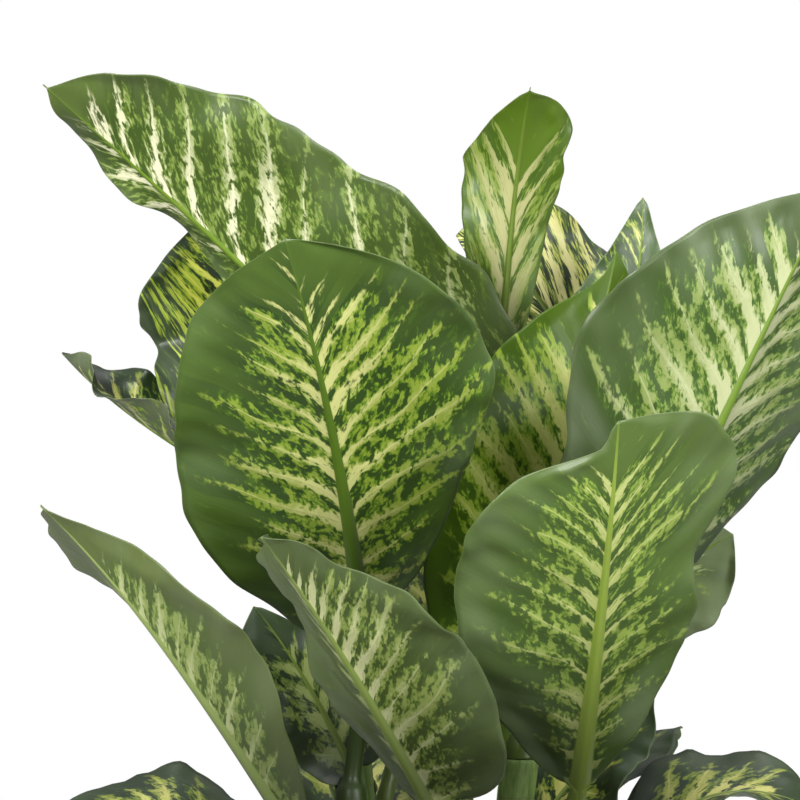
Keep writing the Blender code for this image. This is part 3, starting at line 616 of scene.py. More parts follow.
def stalk_rings(leaf, across):
    """The few rings that the stalk is lofted through."""
    cane = CANES[leaf["cane"]]
    base, along, up, _ = midrib(leaf, 0.0)
    if leaf["top"]:
        start = cane_point(cane, cane["top"][2] + GAP)
        start_up = unit(up - up @ UP * UP)
        leave = UP
        side = np.cross(UP, start_up)
        rings = [round_ring(start, start_up, side, BUD_RADIUS, across),
                 round_ring(start + BUD_HEIGHT * UP, start_up, side, BUD_RADIUS - BUD_TAPER, across)]
    else:
        z, turn = leaf["node"], leaf["turn"]
        way = np.array((cos(radians(turn)), sin(radians(turn)), 0))
        start = cane_point(cane, z + STALK_RADIUS)
        start = start + way * (cane_radius(cane, z) + STALK_RADIUS + 2 * SHEATH_LIP + STALK_CLEAR)
        start_up = -way
        leave = unit(UP + STALK_OUT * way)
        rings = [sheath_ring(cane, z - SHEATH_HEIGHT, turn, SHEATH_FOOT_THICK, GAP, across),
                 sheath_ring(cane, z - SHEATH_HEIGHT / 2, turn, SHEATH_MIDDLE_THICK, GAP, across),
                 sheath_ring(cane, z, turn, STALK_RADIUS, SHEATH_TOP_GAP, across)]
    reach = STALK_PULL * np.linalg.norm(base - start)
    first, second = start + leave * reach, base - along * reach
    for u in STALK_CUTS:
        middle = ((1 - u) ** 3 * start + 3 * u * (1 - u) ** 2 * first
                  + 3 * u * u * (1 - u) * second + u ** 3 * base)
        way = unit((1 - u) ** 2 * (first - start) + 2 * u * (1 - u) * (second - first)
                   + u * u * (base - second))
        look = start_up * (1 - u) + up * u
        look = unit(look - look @ way * way)
        rings.append(round_ring(middle, look, np.cross(way, look), STALK_RADIUS, across))
    return np.array(rings)


def smooth_between(rings, last, steps):
    """Rings on a smooth curve through the given ones. The last one only gives the direction."""
    given = np.concatenate([rings[:1], rings, last[None]])
    made = []
    for i in range(len(rings) - 1):
        a, b, c, d = given[i:i + 4]
        for k in range(steps):
            u = k / steps
            made.append(0.5 * (2 * b + (c - a) * u + (2 * a - 5 * b + 4 * c - d) * u ** 2
                               + (3 * b - a - 3 * c + d) * u ** 3))
    made.append(rings[-1])
    return np.array(made)


print("rings that the stalk is lofted through:", len(stalk_rings(sample, 4)))

# %% [markdown]
# Now the points become a mesh. Four-sided faces join each ring to the next, and strips of faces
# close the two ends. Leaves, canes and soil are all made this way, so one function makes the piece
# from its points and faces.

# %% From points to a piece
def keep_values(mesh, name, values):
    """Store three numbers for each point of a mesh under a name."""
    kept = mesh.attributes.new(name, "FLOAT_VECTOR", "POINT")
    kept.data.foreach_set("vector", np.ascontiguousarray(values, np.float32).ravel())


def grow_piece(piece_name, mesh_name, points, faces, round_ends=True):
    """A smooth mesh piece. Its points are in millimetres."""
    mesh = bpy.data.meshes.new(mesh_name)
    mesh.from_pydata((np.array(points).reshape(-1, 3) * MM).tolist(), [], faces)
    smooth = [round_ends or len(face.vertices) == 4 for face in mesh.polygons]
    mesh.polygons.foreach_set("use_smooth", smooth)
    piece = bpy.data.objects.new(piece_name, mesh)
    bpy.context.scene.collection.objects.link(piece)
    return piece


def ring_faces(rings, across):
    """Faces between neighbouring rings of two rows, and over both ends."""
    faces = []
    wide = 2 * across
    for a in range(0, (rings - 1) * wide, wide):
        b = a + wide
        for i in range(across - 1):
            c, d = a + across + i, b + across + i
            faces.append((a + i, a + i + 1, b + i + 1, b + i))
            faces.append((c, d, d + 1, c + 1))
        faces.append((a + across - 1, a + wide - 1, b + wide - 1, b + across - 1))
        faces.append((a, b, b + across, a + across))
    end = (rings - 1) * wide
    for i in range(across - 1):
        faces.append((i, i + across, i + across + 1, i + 1))
        faces.append((end + i, end + i + 1, end + i + across + 1, end + i + across))
    return faces


print("faces of a leaf in 10 rings of 8 points:", len(ring_faces(10, 4)))

# %% [markdown]
# Each point also keeps its place on the leaf, as named values on the mesh: how far out it is, its
# vein, its distance from the margin, and whether it is on the upper side. The leaf's finish reads
# these values, so the pattern grows with the leaf and isn't projected on it. Some leaves end in a
# thread: a few more rings past the tip, where the blade is only its drawn-out midrib. The leaves that
# the picture shows are cut finer than those behind them.

# %% Build the leaves
FINE_CUTS, FINE_STEPS, FINE_STALK = 96, 20, 6
PLAIN_CUTS, PLAIN_STEPS, PLAIN_STALK = 48, 11, 4
FIRST_CUT, SPIKE_CUTS = 0.012, np.array((0.25, 0.5, 0.75, 1))
BARE_EDGE = 30
LOWEST, HIGHEST = (np.array(corner) / MM for corner in solid_box)


def build_leaf(name, number):
    leaf = whole_leaf(name)
    cuts, steps, stalk_steps = PLAIN_CUTS, PLAIN_STEPS, PLAIN_STALK
    if leaf["fine"]:
        cuts, steps, stalk_steps = FINE_CUTS, FINE_STEPS, FINE_STALK
    s = FIRST_CUT + (1 - FIRST_CUT) * (np.arange(cuts + 1) / cuts)
    if leaf["spike"]:
        s = np.append(s, 1 + leaf["spike"] * SPIKE_CUTS / leaf["length"])
    upper, lower, known = blade_rows(leaf, s, steps, 10 * number)
    across = upper.shape[1]
    blade = np.concatenate([upper, lower], axis=1)
    stalk = smooth_between(stalk_rings(leaf, across), blade[0], stalk_steps)
    rings = np.clip(np.concatenate([stalk, blade]), LOWEST, HIGHEST)
    count, bare = len(rings), len(stalk)
    on_stalk = np.zeros((count, 2 * across))
    on_stalk[:bare] = 1
    on_upper = np.zeros((count, 2 * across))
    on_upper[:, :across] = 1

    def whole(key, plain=0):
        """A value for every point: plain on the stalk, known on the blade."""
        values = np.full((count, 2 * across), float(plain))
        values[bare:] = np.concatenate([known[key], known[key]], axis=1)
        return values

    piece = grow_piece("grown_" + name, name, rings, ring_faces(count, across))
    keep_values(piece.data, "vein_place",
                np.stack([whole("out"), whole("vein"), whole("edge", BARE_EDGE)], -1))
    keep_values(piece.data, "leaf_place", np.stack([whole("s"), whole("t"), on_upper], -1))
    keep_values(piece.data, "part_place", np.stack([whole("rib"), on_stalk, whole("left")], -1))
    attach(piece, "root")
    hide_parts(name)
    return piece


leaf_pieces = {name: build_leaf(name, number) for number, name in enumerate(LEAVES)}
print("faces in the leaves:", sum(len(piece.data.polygons) for piece in leaf_pieces.values()))

# %% [markdown]
# ## The finish of a leaf
# A cream streak starts at the midrib and follows a side vein outwards. Its edges are ragged, because
# whole groups of cells in the leaf lack their green. So the finish adds up a score for each spot:
# high on a vein, higher near the midrib, none near the margin, and stirred by stretched noise. The
# score is then cut into colours: dark green, mid green, yellow green and cream.

# %% Colours and wires
def paint(red, green, blue):
    """A colour as it is seen on a screen, 0 to 255, turned into the light values that nodes use."""
    shares = [c / 255 for c in (red, green, blue)]
    return tuple(c / 12.92 if c < 0.04045 else ((c + 0.055) / 1.055) ** 2.4 for c in shares) + (1,)


class Wire:
    """A number on its way through a node tree. Adding or multiplying it puts in a Math node."""

    def __init__(self, bench, socket):
        self.bench, self.socket = bench, socket

    def __add__(self, other):
        return self.bench.math("ADD", self, other)

    def __sub__(self, other):
        return self.bench.math("SUBTRACT", self, other)

    def __rsub__(self, other):
        return self.bench.math("SUBTRACT", other, self)

    def __mul__(self, other):
        return self.bench.math("MULTIPLY", self, other)

    def __truediv__(self, other):
        return self.bench.math("DIVIDE", self, other)


print("a mid green for the nodes:", [round(c, 3) for c in paint(86, 120, 28)])

# %% [markdown]
# Nodes can be placed by hand in the shader editor. With one finish for each of 24 leaves it is
# quicker to write them, and a few short helpers keep that as easy to read as sums.

# %% A bench for node trees
class Bench:
    """A node tree with short ways to add the nodes that the finishes need."""

    def __init__(self, name):
        self.material = bpy.data.materials.new(name)
        self.material.use_nodes = True
        self.tree = self.material.node_tree
        self.shader = self.tree.nodes["Principled BSDF"]

    def feed(self, socket, value):
        if isinstance(value, Wire):
            self.tree.links.new(value.socket, socket)
        else:
            socket.default_value = value

    def math(self, operation, first, second=0.0):
        node = self.tree.nodes.new("ShaderNodeMath")
        node.operation = operation
        self.feed(node.inputs[0], first)
        self.feed(node.inputs[1], second)
        return Wire(self, node.outputs[0])

    def fade(self, value, start, stop):
        """0 at start and 1 at stop, eased. Start may be the larger one."""
        node = self.tree.nodes.new("ShaderNodeMapRange")
        node.interpolation_type = "SMOOTHSTEP"
        self.feed(node.inputs["Value"], value)
        self.feed(node.inputs["From Min"], start)
        self.feed(node.inputs["From Max"], stop)
        return Wire(self, node.outputs["Result"])

    def mix(self, share, first, second):
        node = self.tree.nodes.new("ShaderNodeMix")
        node.data_type = "RGBA"
        self.feed(node.inputs["Factor"], share)
        self.feed(node.inputs["A"], first)
        self.feed(node.inputs["B"], second)
        return Wire(self, node.outputs["Result"])

    def parts(self, socket):
        node = self.tree.nodes.new("ShaderNodeSeparateXYZ")
        self.tree.links.new(socket, node.inputs[0])
        return [Wire(self, part) for part in node.outputs]

    def values(self, name):
        """The three numbers kept on the mesh under a name."""
        node = self.tree.nodes.new("ShaderNodeAttribute")
        node.attribute_name = name
        return self.parts(node.outputs["Vector"])

    def join(self, x, y, z):
        node = self.tree.nodes.new("ShaderNodeCombineXYZ")
        for socket, value in zip(node.inputs, (x, y, z)):
            self.feed(socket, value)
        return Wire(self, node.outputs[0])

    def noise(self, place, scale=1.0, detail=2.0, rough=0.5, twist=0.0):
        node = self.tree.nodes.new("ShaderNodeTexNoise")
        self.feed(node.inputs["Vector"], place)
        node.inputs["Scale"].default_value = scale
        node.inputs["Detail"].default_value = detail
        node.inputs["Roughness"].default_value = rough
        node.inputs["Distortion"].default_value = twist
        return Wire(self, node.outputs["Fac"])

    def on_object(self):
        """The place of a spot on the object, in metres."""
        return Wire(self, self.tree.nodes.new("ShaderNodeTexCoord").outputs["Object"])

    def flakes(self, place, scale=1.0):
        """A random number for each small cell of a surface."""
        node = self.tree.nodes.new("ShaderNodeTexVoronoi")
        self.feed(node.inputs["Vector"], place)
        node.inputs["Scale"].default_value = scale
        return self.parts(node.outputs["Color"])[0]

    def chances(self, place):
        """Three random numbers for a place."""
        node = self.tree.nodes.new("ShaderNodeTexWhiteNoise")
        self.feed(node.inputs["Vector"], place)
        return self.parts(node.outputs["Color"])

    def bump(self, height, distance, strength=1.0):
        node = self.tree.nodes.new("ShaderNodeBump")
        node.inputs["Strength"].default_value = strength
        node.inputs["Distance"].default_value = distance
        self.feed(node.inputs["Height"], height)
        self.tree.links.new(node.outputs["Normal"], self.shader.inputs["Normal"])

    def finish(self, colour, roughness):
        self.feed(self.shader.inputs["Base Color"], colour)
        self.feed(self.shader.inputs["Roughness"], roughness)


print("helpers on the bench:", len([name for name in vars(Bench) if name[0] != "_"]))

# %% [markdown]
# No two leaves carry the same pattern. Each leaf has its own numbers: how far out the cream reaches
# on each half, where it stops before the tip, how much cream and yellow green there is, and how much
# of it lies beside the midrib. Two numbers paint light: painted shade darkens the leaf towards its
# stalk, where less light falls on it, and a painted sheen lays a pale grey-green towards the margin,
# in place of light reflected by the waxy skin. The under side is greyer and duller than the upper
# side, which is a darker green. A leaf names only the tints in which it differs.

# %% What each leaf looks like
TINTS = {
    "under": {"margin": (76, 100, 34), "dark": (50, 74, 20), "green": (86, 120, 28),
              "yellow": (130, 150, 50), "cream": (194, 196, 124), "rib": (100, 128, 34)},
    "over": {"margin": (42, 62, 26), "dark": (28, 46, 16), "green": (76, 102, 28),
             "yellow": (136, 150, 48), "cream": (206, 204, 114), "rib": (120, 142, 60)},
}
# Two of these numbers paint light: the strength of the painted shade towards the stalk, and of the
# painted sheen towards the margin.
PATTERN = {"reach": (0.85, 0.95), "stop": 0.84, "last": 1000.0, "cream": 0.26, "yellow": 0.4,
           "beside": 0.12, "painted_shade": 0.6, "painted_sheen": 0.15, "shine": 0.42, "under": {}, "over": {}}
LOOKS = {
    "leaf_front_left": {
        "reach": (0.84, 1.08), "stop": 0.915, "cream": 0.2, "yellow": 0.43, "painted_sheen": 0.12, "painted_shade": 0.72,
        "under": {"margin": (70, 94, 30), "dark": (44, 66, 22), "green": (82, 116, 26),
                  "rib": (76, 104, 20)}},
    "leaf_top_left": {
        "reach": (1.8, 1.5), "stop": 0.91, "cream": 0.16, "yellow": 0.36, "beside": 0.0, "painted_sheen": 0.12,
        "shine": 0.3,
        "under": {"margin": (82, 100, 44), "dark": (60, 80, 28), "green": (92, 116, 42),
                  "yellow": (126, 144, 72), "cream": (222, 220, 184)}},
    "leaf_top_middle": {
        "reach": (1.35, 1.35), "stop": 0.88, "last": 112.0, "cream": 0.24, "yellow": 0.4,
        "painted_shade": 0.1, "painted_sheen": 0.05, "shine": 0.3,
        "under": {"margin": (76, 100, 24), "dark": (60, 84, 18), "green": (86, 112, 28),
                  "yellow": (116, 134, 56), "cream": (160, 160, 108), "rib": (92, 114, 34)}},
    "leaf_right": {
        "reach": (0.95, 1.2), "stop": 0.9, "cream": 0.22, "yellow": 0.48, "painted_sheen": 0.25,
        "under": {"margin": (68, 84, 44), "dark": (54, 78, 26), "green": (80, 112, 34),
                  "yellow": (128, 144, 76), "cream": (174, 180, 134)}},
    "leaf_front_right": {
        "reach": (0.8, 0.92), "stop": 0.88, "cream": 0.13, "yellow": 0.4, "painted_sheen": 0.25,
        "under": {"margin": (80, 102, 42), "dark": (64, 88, 32), "green": (92, 120, 40),
                  "yellow": (136, 158, 66), "cream": (184, 192, 118), "rib": (134, 156, 58)}},
    "leaf_front_low": {
        "reach": (0.4, 0.9), "stop": 0.88, "cream": 0.2, "yellow": 0.46,
        "under": {"margin": (92, 108, 60), "dark": (70, 88, 40), "green": (104, 128, 52),
                  "yellow": (146, 162, 84), "cream": (204, 208, 154), "rib": (132, 152, 72)}},
    "leaf_low_left": {
        "reach": (0.62, 0.7), "stop": 0.74, "cream": 0.1, "yellow": 0.52,
        "under": {"margin": (98, 112, 60), "dark": (84, 102, 50), "green": (116, 140, 64),
                  "yellow": (150, 166, 94), "cream": (196, 204, 146), "rib": (150, 168, 96)}},
    "leaf_middle": {
        "reach": (1.1, 1.1), "stop": 0.86, "cream": 0.24, "yellow": 0.5, "painted_shade": 0.3, "painted_sheen": 0.0,
        "shine": 0.15,
        "under": {"margin": (72, 98, 20), "dark": (58, 86, 14), "green": (98, 134, 24),
                  "yellow": (136, 160, 50), "cream": (194, 200, 112)}},
    "leaf_back_left": {
        "reach": (1.5, 1.2), "stop": 1.1, "cream": 0.26, "yellow": 0.4, "beside": -0.1,
        "over": {"margin": (34, 52, 22), "dark": (20, 36, 12), "green": (70, 98, 18),
                 "yellow": (138, 156, 40), "cream": (196, 198, 84)}},
    "leaf_back_middle": {
        "reach": (1.6, 1.6), "stop": 1.1, "cream": 0.22, "yellow": 0.34, "beside": 0.0, "painted_shade": 0.1,
        # Painted light: these tints are brighter than the leaf's own and stand in for the light that its
        # shaded place behind the other leaves lacks.
        "over": {"green": (112, 140, 40), "yellow": (218, 216, 110), "cream": (250, 244, 170)}},
    "leaf_back_right_point": {
        "reach": (0.3, 1.8), "stop": 0.94, "cream": 0.07, "yellow": 0.34, "painted_shade": 0.2, "beside": 0.0,
        "over": {"margin": (62, 84, 44), "dark": (46, 66, 30), "green": (74, 98, 34),
                 "yellow": (120, 136, 54), "cream": (190, 188, 116)}},
    "leaf_left_inner": {
        "reach": (1.0, 1.0), "stop": 0.8, "cream": 0.16, "yellow": 0.46,
        "over": {"margin": (56, 76, 40), "yellow": (118, 136, 58), "cream": (160, 174, 98)}},
    "leaf_right_inner": {
        # Painted light: the pale grey-green tints and the strong painted sheen stand in for the light
        # that falls on this leaf from the right.
        "reach": (0.7, 0.7), "cream": 0.05, "yellow": 0.3, "painted_shade": 0.1, "painted_sheen": 0.4,
        "under": {"margin": (112, 128, 84), "dark": (96, 114, 66), "green": (114, 134, 74),
                  "cream": (170, 184, 124)}},
    "leaf_left_curled": {
        "reach": (1.2, 1.2), "cream": 0.14, "yellow": 0.3,
        # Its under side is painted paler and greyer than the other under sides: the real grey of an
        # under side, lightened further by painted light that stands in for light bounced up onto it.
        "under": {"margin": (106, 118, 86), "dark": (86, 98, 64)},
        "over": {"margin": (30, 46, 18), "yellow": (110, 124, 40)}},
}
print("leaves with a pattern of their own:", len(LOOKS), "of", len(LEAVES))

# %% [markdown]
# To place a colour, the nodes have to know where a spot lies on its leaf. The numbers kept on the
# mesh say that. They also carry the noise: laid out by distance from the midrib and along the veins,
# it gives blots and crumbs that lean with the veins, as the ragged edges of the real streaks do.

# %% Where a spot lies on its leaf
PATCHES = {
    "broad": (0.03, 0.05, 0, 1.0, 0.0),
    "blots": (0.2, 0.22, 9, 2.0, 0.6),
    "crumbs": (0.55, 0.5, 21, 2.0, 0.4),
    "grain": (0.06, 0.9, 40, 2.0, 0.0),
    "sway": (0.022, 0.04, 60, 1.0, 0.0),
    # Patches for the painted sheen towards the margin.
    "painted_sheen": (0.02, 0.035, 80, 1.0, 0.0),
}
SEED_STEP, SEED_START = 3.7, 1.3


class Spot:
    """A spot of one leaf, as the nodes know it."""

    def __init__(self, bench, name, number):
        self.bench = bench
        self.seed = SEED_STEP * number + SEED_START
        self.out, self.vein, self.edge = bench.values("vein_place")
        self.s, self.t, self.upper = bench.values("leaf_place")
        self.rib, self.stalk, self.left = bench.values("part_place")
        self.across = self.vein * float(whole_leaf(name)["spacing"])
        self.broad, self.blots, self.crumbs, self.grain = (
            self.patches(kind) for kind in ("broad", "blots", "crumbs", "grain"))

    def patches(self, kind):
        """Noise round 0.5. Its kind says how dense it is outwards and across the veins."""
        dense_out, dense_across, own_seed, detail, twist = PATCHES[kind]
        place = self.bench.join(self.out * dense_out, self.across * dense_across, self.seed + own_seed)
        return self.bench.noise(place, 1.0, detail, 0.5, twist)


print("kinds of patches in a leaf:", len(PATCHES))

# %% [markdown]
# Each vein carries one band, broad at the midrib and tapering outwards. The nearest whole vein number
# tells the bands apart, and chance gives each band its own width, length and tone. The bands end
# before the tip, some of them sooner and some later.

# %% Bands along the veins
VEIN_SWAY = 1.1
LEAST_REACH, REACH_LUCK, REACH_BLUR = 0.75, 0.4, 0.4
STOP_LUCK, STOP_AFTER, STOP_BEFORE = 0.16, 0.02, 0.12
LAST_BLUR, LAST_EASE = 30.0, 6.0


def find_band(bench, look, spot):
    """Add to the spot how far it is from its vein, and how far out it lies in its band."""
    bent_vein = spot.vein + (spot.patches("sway") - 0.5) * VEIN_SWAY
    band = bench.math("ROUND", bent_vein)
    spot.from_vein = bench.math("ABSOLUTE", bent_vein - band)
    place = bench.join(band, bench.math("ROUND", spot.left), spot.seed)
    spot.width_luck, reach_luck, spot.tone_luck = bench.chances(place)
    reach_left, reach_right = look["reach"]
    reach = spot.left * (reach_left - reach_right) + reach_right
    reach = reach * (reach_luck * REACH_LUCK + LEAST_REACH)
    spot.outwards = (spot.t + (spot.broad - 0.5) * REACH_BLUR) / reach
    along = spot.s + (reach_luck - 0.5) * STOP_LUCK
    before_stop = bench.fade(along, look["stop"] + STOP_AFTER, look["stop"] - STOP_BEFORE)
    blurred = spot.across + (spot.broad - 0.5) * LAST_BLUR
    before_last = bench.fade(blurred, look["last"] + LAST_EASE, look["last"] - LAST_EASE)
    spot.below_tip = before_stop * before_last


# %% [markdown]
# Now each spot gets two scores, one for cream and one for the wider yellow green round it. Both are
# high on a vein and fall off from it, and the blots and crumbs stir them. Where a score passes its
# threshold, its colour starts. Beyond the band the yellow green breaks up into faint flecks.

# %% Scores for cream and yellow green
BLOT_STIR, CRUMB_STIR, INNER_EDGE, BESIDE_RIB_MM = 1.45, 0.65, (1.1, 0.5), (12.0, 4.0)
TAPER_POWER, TAPER_CALM, TAPER_END = 0.7, (0.0, 0.3), (0.0, 0.1)
CREAM_LEAST, CREAM_LUCK, CREAM_STIR, CREAM_EDGE = 0.55, 0.9, 0.6, (-0.06, 0.14)
MARGIN_LOSS, YELLOW_LOSS, YELLOW_FALL, YELLOW_STIR, YELLOW_BLUR = 0.5, 0.14, 1.05, 1.5, 0.6
YELLOW_CRUMBS, YELLOW_EDGE, GREEN_EDGE = 0.6, (0.04, 0.36), (-0.1, 0.12)
FAINT_MOST, FAINT_EDGE, FLECK_EDGE = 0.4, (-0.5, -0.1), (0.5, 0.58)


def find_colours(bench, look, spot):
    """How much of the spot is cream, yellow green and mid green."""
    stir = (spot.blots - 0.5) * BLOT_STIR + (spot.crumbs - 0.5) * CRUMB_STIR
    inner = bench.fade(spot.outwards, *INNER_EDGE) * spot.below_tip
    taper = bench.math("MAXIMUM", 1.0 - spot.outwards, 0.0)
    taper = bench.math("POWER", taper, TAPER_POWER) * spot.below_tip
    cream_half = taper * (spot.width_luck * CREAM_LUCK + CREAM_LEAST) * look["cream"]
    beside_rib = bench.fade(spot.out, *BESIDE_RIB_MM) * spot.below_tip * look["beside"]
    cream_stir = stir * bench.fade(taper, *TAPER_CALM) * CREAM_STIR
    cream_score = cream_half - spot.from_vein + beside_rib + cream_stir
    yellow_score = inner * (look["yellow"] + MARGIN_LOSS) - MARGIN_LOSS - YELLOW_LOSS
    yellow_score = yellow_score + cream_half - spot.from_vein * YELLOW_FALL
    yellow_score = yellow_score + stir * YELLOW_STIR + (spot.broad - 0.5) * YELLOW_BLUR
    is_cream = bench.fade(cream_score, *CREAM_EDGE) * bench.fade(taper, *TAPER_END)
    is_yellow = bench.fade(yellow_score + (spot.crumbs - 0.5) * YELLOW_CRUMBS, *YELLOW_EDGE)
    flecks = bench.fade(spot.blots, *FLECK_EDGE) * FAINT_MOST
    is_faint = bench.fade(yellow_score, *FAINT_EDGE) * flecks
    is_green = bench.math("MAXIMUM", bench.fade(yellow_score, *GREEN_EDGE), is_faint)
    return is_cream, is_yellow, is_green


# %% [markdown]
# The colours of one side of a leaf are laid over each other from dark to light: first the green
# ground, which is darker inside, then the flecks, the bands, the fine lines of the veins and the
# midrib, which fades a little at the tip.

# %% The colours of one side
SHADE_EDGE, SHADE_GRAIN = (1.5, 0.3), 0.3
PALE_LUCK, PALE_BLOTS, PALE_EDGE = 0.3, 1.2, (0.3, 1.1)
VEIN_LINE, VEIN_LINE_END, VEIN_LINE_MOST = (0.045, 0.012), (1.0, 0.6), 0.45
RIB_EDGE, RIB_AT_TIP, RIB_TIP = (1.05, 0.8), 0.4, (1.0, 0.8)


def side_colour(bench, tints, spot, vein_line, is_cream, is_yellow, is_green):
    shade = bench.fade(spot.outwards, *SHADE_EDGE) * spot.below_tip + (spot.grain - 0.5) * SHADE_GRAIN
    patch = bench.mix(shade, tints["margin"], tints["dark"])
    patch = bench.mix(is_green, patch, tints["green"])
    patch = bench.mix(is_yellow, patch, tints["yellow"])
    fading = spot.outwards + spot.tone_luck * PALE_LUCK + (spot.blots - 0.5) * PALE_BLOTS
    pale = bench.mix(bench.fade(fading, *PALE_EDGE), tints["cream"], tints["yellow"])
    patch = bench.mix(is_cream, patch, pale)
    patch = bench.mix(vein_line * is_green * VEIN_LINE_MOST, patch, tints["cream"])
    strength = bench.fade(spot.s, *RIB_TIP) * (1 - RIB_AT_TIP) + RIB_AT_TIP
    on_rib = bench.fade(spot.rib, *RIB_EDGE) * strength
    return bench.mix(bench.math("MAXIMUM", on_rib, spot.stalk), patch, tints["rib"])


# %% [markdown]
# The whole finish takes the under side and the upper side together. Over both come a thin pale
# margin, painted shade that darkens the blade towards the stalk, and a painted sheen of pale
# grey-green towards the margin. A thin coat gives the leaf its satin shine, and a small bump raises
# the veins on the under side.

# %% Leaf finish
MARGIN_LINE, MARGIN_LINE_MM, MARGIN_LINE_MOST = (160, 172, 120), (0.7, 0.25), 0.12
# Painted shade: a near black mixed in towards the stalk, where less light falls on the blade.
PAINTED_SHADE_TINT, PAINTED_SHADE_FADE = (0, 6, 0), (0.5, 0.0)
# Painted sheen: a pale grey-green mixed in towards the margin, in place of light reflected by the waxy
# skin.
PAINTED_SHEEN_TINT, PAINTED_SHEEN_EDGE, PAINTED_SHEEN_OUT = (150, 164, 130), (0.35, 0.75), (0.3, 0.95)
ROUGH, ROUGH_GRAIN, ROUGH_UPPER, COAT, COAT_ROUGH = 0.4, 0.06, 0.02, 0.08, 0.32
RIDGE_FROM_RIB, RIDGE_PLAIN, RIDGE_GREEN = (1.0, 1.5), 0.05, 0.25
RELIEF_GRAIN, RELIEF_HEIGHT, RELIEF_STRENGTH = 0.4, 0.4 * MM, 0.7


def leaf_finish(name, number):
    look = {**PATTERN, **LOOKS.get(name, {})}
    bench = Bench(name)
    spot = Spot(bench, name, number)
    find_band(bench, look, spot)
    found = find_colours(bench, look, spot)
    vein_line = bench.fade(spot.from_vein, *VEIN_LINE) * bench.fade(spot.t, *VEIN_LINE_END)
    sides = []
    for side in ("under", "over"):
        tints = {part: paint(*tint) for part, tint in {**TINTS[side], **look[side]}.items()}
        sides.append(side_colour(bench, tints, spot, vein_line, *found))
    colour = bench.mix(spot.upper, *sides)
    margin = bench.fade(spot.edge, *MARGIN_LINE_MM) * MARGIN_LINE_MOST
    colour = bench.mix(margin, colour, paint(*MARGIN_LINE))
    # Painted shade, darkest at the stalk.
    painted_shade = bench.fade(spot.s, *PAINTED_SHADE_FADE) * look["painted_shade"]
    colour = bench.mix(painted_shade, colour, paint(*PAINTED_SHADE_TINT))
    # Painted sheen in patches towards the margin.
    painted_sheen = bench.fade(spot.patches("painted_sheen"), *PAINTED_SHEEN_EDGE) * bench.fade(spot.t, *PAINTED_SHEEN_OUT) * look["painted_sheen"]
    colour = bench.mix(painted_sheen, colour, paint(*PAINTED_SHEEN_TINT))
    bench.finish(colour, spot.grain * ROUGH_GRAIN + (spot.upper * ROUGH_UPPER + ROUGH))
    bench.shader.inputs["Specular IOR Level"].default_value = look["shine"]
    bench.shader.inputs["Coat Weight"].default_value = COAT
    bench.shader.inputs["Coat Roughness"].default_value = COAT_ROUGH
    ridges = vein_line * bench.fade(spot.rib, *RIDGE_FROM_RIB) * (1.0 - spot.upper * 2.0)
    ridges = ridges * (found[-1] * RIDGE_GREEN + RIDGE_PLAIN)
    bench.bump(ridges + spot.grain * RELIEF_GRAIN, RELIEF_HEIGHT, RELIEF_STRENGTH)
    return bench.material


for number, (name, piece) in enumerate(leaf_pieces.items()):
    piece.data.materials.append(leaf_finish(name, number))
print("nodes in a leaf's finish:", len(leaf_pieces["leaf_right"].data.materials[0].node_tree.nodes))

# %% [markdown]
# ## The canes
# A cane is the thick green stem. Each leaf that has dropped leaves a ring scar round it. The solids
# give its lean and its girth, and the lowest scars. Here it is made again from many level rings, so
# that it looks round, with a faint groove at every joint of the stem.

# %% Build the canes
SCAR_HEIGHTS, SCAR_RISE, SCAR_HALF, SCAR_SHARP = (7, 18), 0.8, 2, 1.6
JOINT_SPACING, JOINT_DEPTH, JOINT_HALF, JOINTS_FROM = 15, 0.35, 1.1, 25
UNEVEN, UNEVEN_LENGTH = 0.12, 31
CANE_SIDES, CANE_STEP, CANE_BELOW, CANE_END_INSET = 36, 1.4, 10, 0.5


def stack_faces(rings, sides, rising=True):
    """Faces round a stack of closed rings, and one over each end."""
    faces = []
    for i in range(rings - 1):
        for k in range(sides):
            here, there = i * sides + k, i * sides + (k + 1) % sides
            over_here, over_there = here + sides, there + sides
            faces.append((here, there, over_there, over_here) if rising
                         else (here, over_here, over_there, there))
    first, last = tuple(range(sides)), tuple(range((rings - 1) * sides, rings * sides))
    return faces + ([first[::-1], last] if rising else [first, last[::-1]])


def build_cane(name, cane):
    top = cane["top"][2]
    levels = np.arange(SOIL_TOP - CANE_BELOW, top - CANE_END_INSET, CANE_STEP)
    levels = np.concatenate([[SOIL_TOP - CANE_DEPTH + GAP], levels, [top]])
    a = 2 * pi * np.arange(CANE_SIDES) / CANE_SIDES
    rings, marks = [], []
    for z in levels:
        above = z - SOIL_TOP
        scar = max(np.exp(-((above - h) / SCAR_HALF * SCAR_SHARP) ** 2) for h in SCAR_HEIGHTS)
        past_joint = (above - SCAR_HEIGHTS[1]) % JOINT_SPACING
        joint = np.exp(-(past_joint / JOINT_HALF) ** 2) if above > JOINTS_FROM else 0
        radius = cane_radius(cane, z) + SCAR_RISE * scar - JOINT_DEPTH * joint
        radius = radius - UNEVEN * (1 + np.sin(3 * a + z / UNEVEN_LENGTH))
        if z == top:
            radius = radius - CANE_END_INSET
        rings.append(cane_point(cane, z) + np.stack([radius * np.cos(a), radius * np.sin(a), 0 * a], -1))
        marks.append(np.stack([0 * a + above, a / (2 * pi), 0 * a + max(scar, joint)], -1))
    faces = stack_faces(len(levels), CANE_SIDES)
    piece = grow_piece("grown_" + name, name, rings, faces, round_ends=False)
    keep_values(piece.data, "cane_place", np.array(marks).reshape(-1, 3))
    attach(piece, "root")
    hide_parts(name)
    return piece


cane_pieces = [build_cane(name, cane) for name, cane in CANES.items()]
print("faces in the canes:", sum(len(piece.data.polygons) for piece in cane_pieces))

